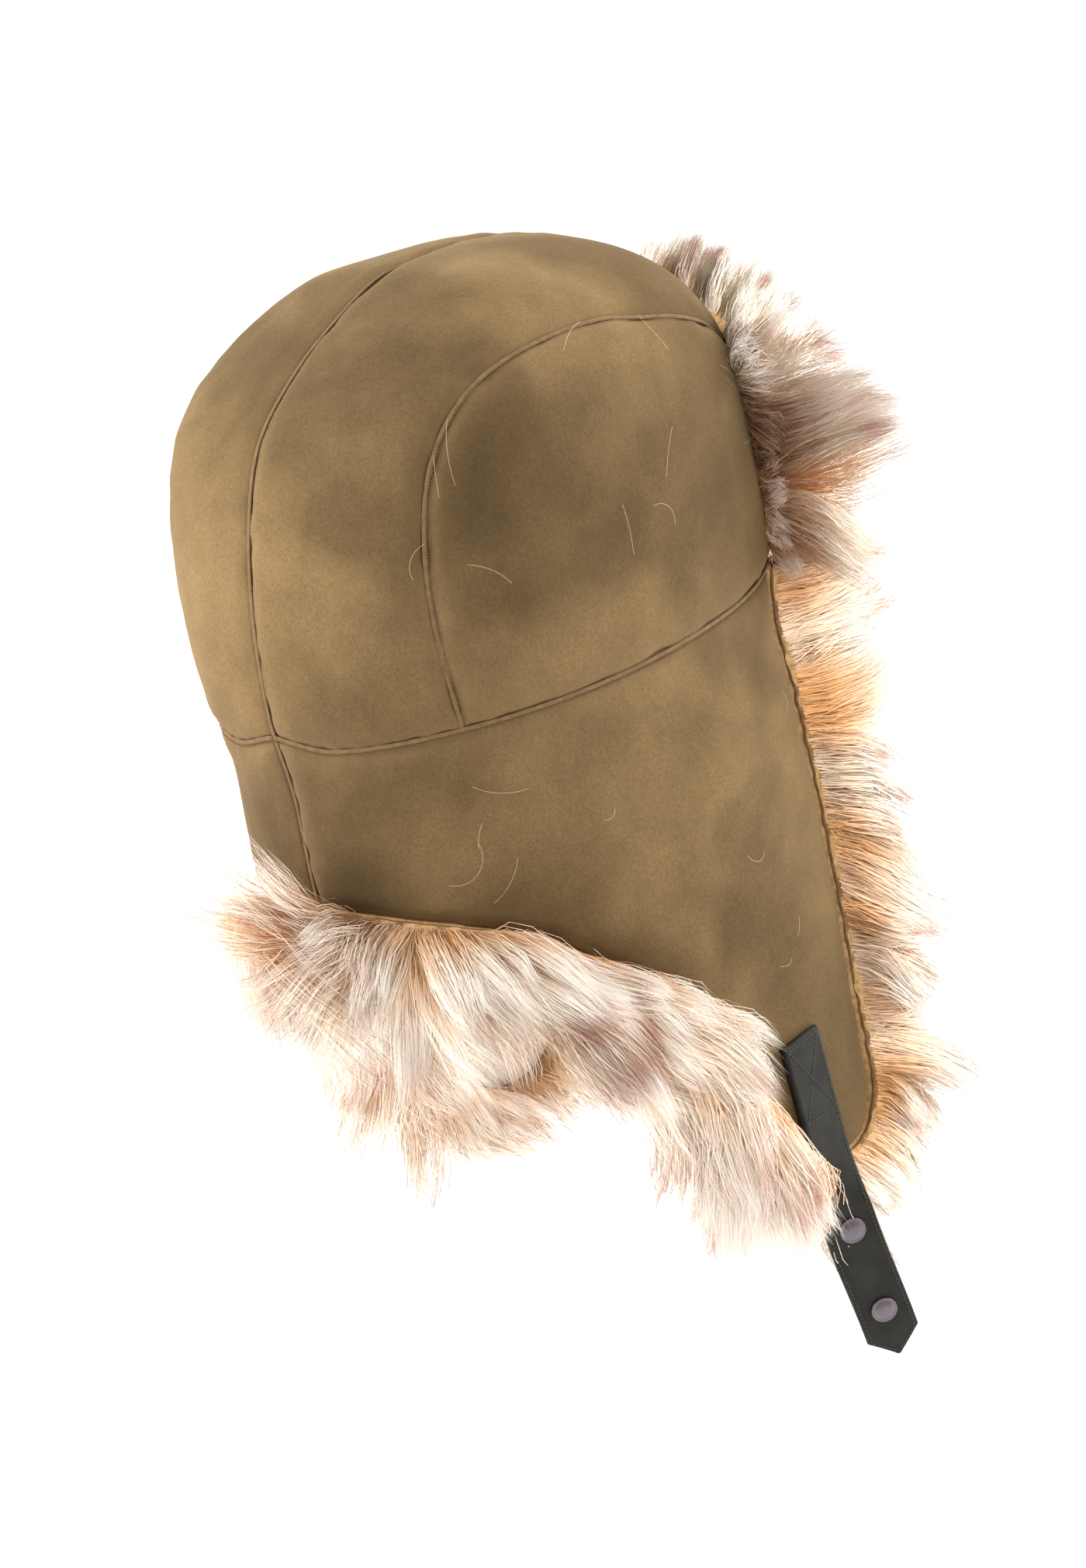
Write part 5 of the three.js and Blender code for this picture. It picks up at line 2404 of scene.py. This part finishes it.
    def snap(self, from_tip: float) -> MeshData:
        """One snap: its domed cap, its post and its socket.

        Args:
            from_tip: How far it is from the strap's tip.

        Returns:
            Its mesh.
        """
        face = self.thickness / 2 + self.gap
        back = face + self.cap_height
        radius, high = self.cap_radius, self.cap_height
        profile = [(0, -back), (3.4, -back), (3.6, -back + 0.4), (self.socket_radius - 0.3, -back + 0.4),
                   (self.socket_radius, -back + 0.7), (self.socket_radius, -face), (self.post_radius, -face),
                   (self.post_radius, face), (radius - 0.25, face), (radius, face + 0.2),
                   (radius, face + 0.5), (radius - 0.2, face + 0.75), (radius - 0.75, face + 0.85),
                   (radius - 0.95, face + 0.72), (radius - 1.15, face + 0.85),
                   (radius * 0.62, face + high * 0.84), (radius * 0.3, face + high * 0.97), (0, face + high)]
        return lathe(profile, self.frame_at(self.length - from_tip))

    def stud(self) -> MeshData:
        """The stud on the other flap that the strap closes on.

        Returns:
            Its mesh.
        """
        place = surface_frame(self.form, -self.turn, self.stud_z)
        lift = np.eye(4)
        lift[2, 3] = self.stud_lift
        base, post = self.socket_radius, self.post_radius
        profile = [(0, 0), (base - 0.2, 0), (base, 0.2), (base, 0.75), (base - 0.3, 1), (post * 0.8, 1.4),
                   (post * 0.8, 2.6), (post, 3.0), (post, 3.4), (post * 0.6, 4), (0, 4)]
        return lathe(profile, place @ lift)

    def build(
        self, leather: Material, thread: Material, metal: Material
    ) -> None:
        """Makes the strap, its stitches, the snaps and the stud.

        Args:
            leather: The strap's material.
            thread: The stitches' material.
            metal: The snaps' material.
        """
        place_piece(make_object("strap_leather", self.body(), [leather]), "strap_leather", "chin_strap")
        place_piece(make_object("strap_stitches", self.stitches(), [thread]), "strap_leather")
        for name, from_tip in zip(("lower", "upper"), self.snaps_from_tip):
            made = make_object(f"snap_{name}", self.snap(from_tip), [metal])
            place_piece(made, "gunmetal", f"snap_cap_{name}")
        place_piece(make_object("stud_left", self.stud(), [metal]), "gunmetal", "snap_stud_left")


# Stage


@dataclass(frozen=True)
class Lamp:
    """A soft round lamp that faces the hat. Its place and width are in metres."""

    name: str
    spot: tuple[float, float, float]
    width: float
    watts: float

    def hang(self) -> None:
        """Hangs the lamp in the scene."""
        data = bpy.data.lights.new(self.name, "AREA")
        data.shape = "DISK"
        data.size = self.width
        data.energy = self.watts
        made = bpy.data.objects.new(self.name, data)
        made.location = self.spot
        made.rotation_euler = (-Vector(self.spot)).to_track_quat("-Z", "Y").to_euler()
        bpy.context.scene.collection.objects.link(made)


@dataclass
class Stage:
    """The studio: a pale floor, soft light and the camera."""

    azimuth: float = 229.0
    elevation: float = 19.0
    roll: float = -14.0
    distance: float = 1550.0
    scale: float = 3.5
    origin_px: tuple[float, float] = (622.5, 781.3)
    lift: float = 11.0
    photo_px: tuple[int, int] = (1400, 2022)
    floor_z: float = -620.0
    floor_width: float = 40.0
    daylight: float = 1.14
    sensor: float = 36.0
    lamps: tuple[Lamp, ...] = (
        Lamp("key", (1.5, 1.75, 1.0), 1.3, 80.0),
        Lamp("top", (0.2, 0.4, 2.4), 1.6, 38.0),
        Lamp("fill", (-1.1, -2.0, 0.7), 1.6, 74.0),
    )

    def camera(self) -> None:
        """Places the camera at the photograph's viewing angle."""
        a, e, r = (math.radians(angle) for angle in (self.azimuth, self.elevation, self.roll))
        back = Vector((math.sin(a) * math.cos(e), -math.cos(a) * math.cos(e), math.sin(e)))
        level = Vector((math.cos(a), math.sin(a), 0.0))
        upright = back.cross(level)
        right = level * math.cos(r) + upright * math.sin(r)
        up = upright * math.cos(r) - level * math.sin(r)
        wide, high = self.photo_px
        shift = Vector((0.0, 0.0, self.lift))
        eye = back * self.distance + shift
        eye -= right * ((self.origin_px[0] - wide / 2) / self.scale)
        eye += up * ((self.origin_px[1] - high / 2) / self.scale)
        data = bpy.data.cameras.new("photo_camera")
        data.sensor_fit = "VERTICAL"
        data.sensor_height = self.sensor
        data.lens = self.scale * self.distance * self.sensor / high
        data.clip_end = 20.0
        made = bpy.data.objects.new("photo_camera", data)
        matrix = Matrix((right, up, back)).transposed().to_4x4()
        matrix.translation = eye * MM
        made.matrix_world = matrix
        bpy.context.scene.collection.objects.link(made)
        bpy.context.scene.camera = made

    def build(self, paper: Material) -> None:
        """Makes the floor, the lights and the camera.

        Args:
            paper: The floor's material.
        """
        bpy.ops.mesh.primitive_plane_add(size=self.floor_width, location=(0.0, 0.0, self.floor_z * MM))
        floor = bpy.context.object
        floor.name = "studio_floor"
        floor.data.materials.append(paper)
        world = bpy.data.worlds.new("studio")
        world.use_nodes = True
        background = world.node_tree.nodes["Background"]
        background.inputs[0].default_value = (1.0, 1.0, 1.0, 1.0)
        background.inputs[1].default_value = self.daylight
        bpy.context.scene.world = world
        bpy.context.scene.view_settings.view_transform = "Standard"
        for lamp in self.lamps:
            lamp.hang()
        self.camera()


def main() -> None:
    """Builds the hat and its studio."""
    logging.basicConfig(level=logging.INFO, format="%(message)s")
    suede = Suede().build()
    wool = ClippedWool().build()
    skin = FurSkin().build()
    fur = LongFur().build()
    dark_thread = Thread("dark brown thread", "#4a3a26", "#6a553a").build()
    strap_thread = Thread("black strap thread", "#2c2d29", "#4a4b45").build()
    form = HatForm(RINGS, DENTS)
    cut = Cut(form)
    Panels(cut).build(suede, wool)
    SeamWork(cut).build(SeamTape().build(), dark_thread)
    strip_tape = SeamTape("sewn fur edge", "#8e6c48", "#6d5034").build()
    strip_thread = Thread("sand thread", "#5a442c", "#8a6d4a").build()
    strap = Strap(form)
    trim = FurTrim(cut)
    trim.build(TRIM_STRANDS_RIGHT, TRIM_STRANDS_LEFT, skin, fur, strip_tape, strip_thread, strap.press)
    FrontFlap(form).build(FLAP_STRANDS, FLAP_EDGE_STRANDS, skin, fur)
    InsideWool(cut).build(WOOL_STRANDS, fur)
    StrayHairs(cut).build(fur)
    strap.build(StrapLeather().build(), strap_thread, Gunmetal().build())
    Stage().build(StudioWhite().build())


if __name__ == "__main__":
    main()
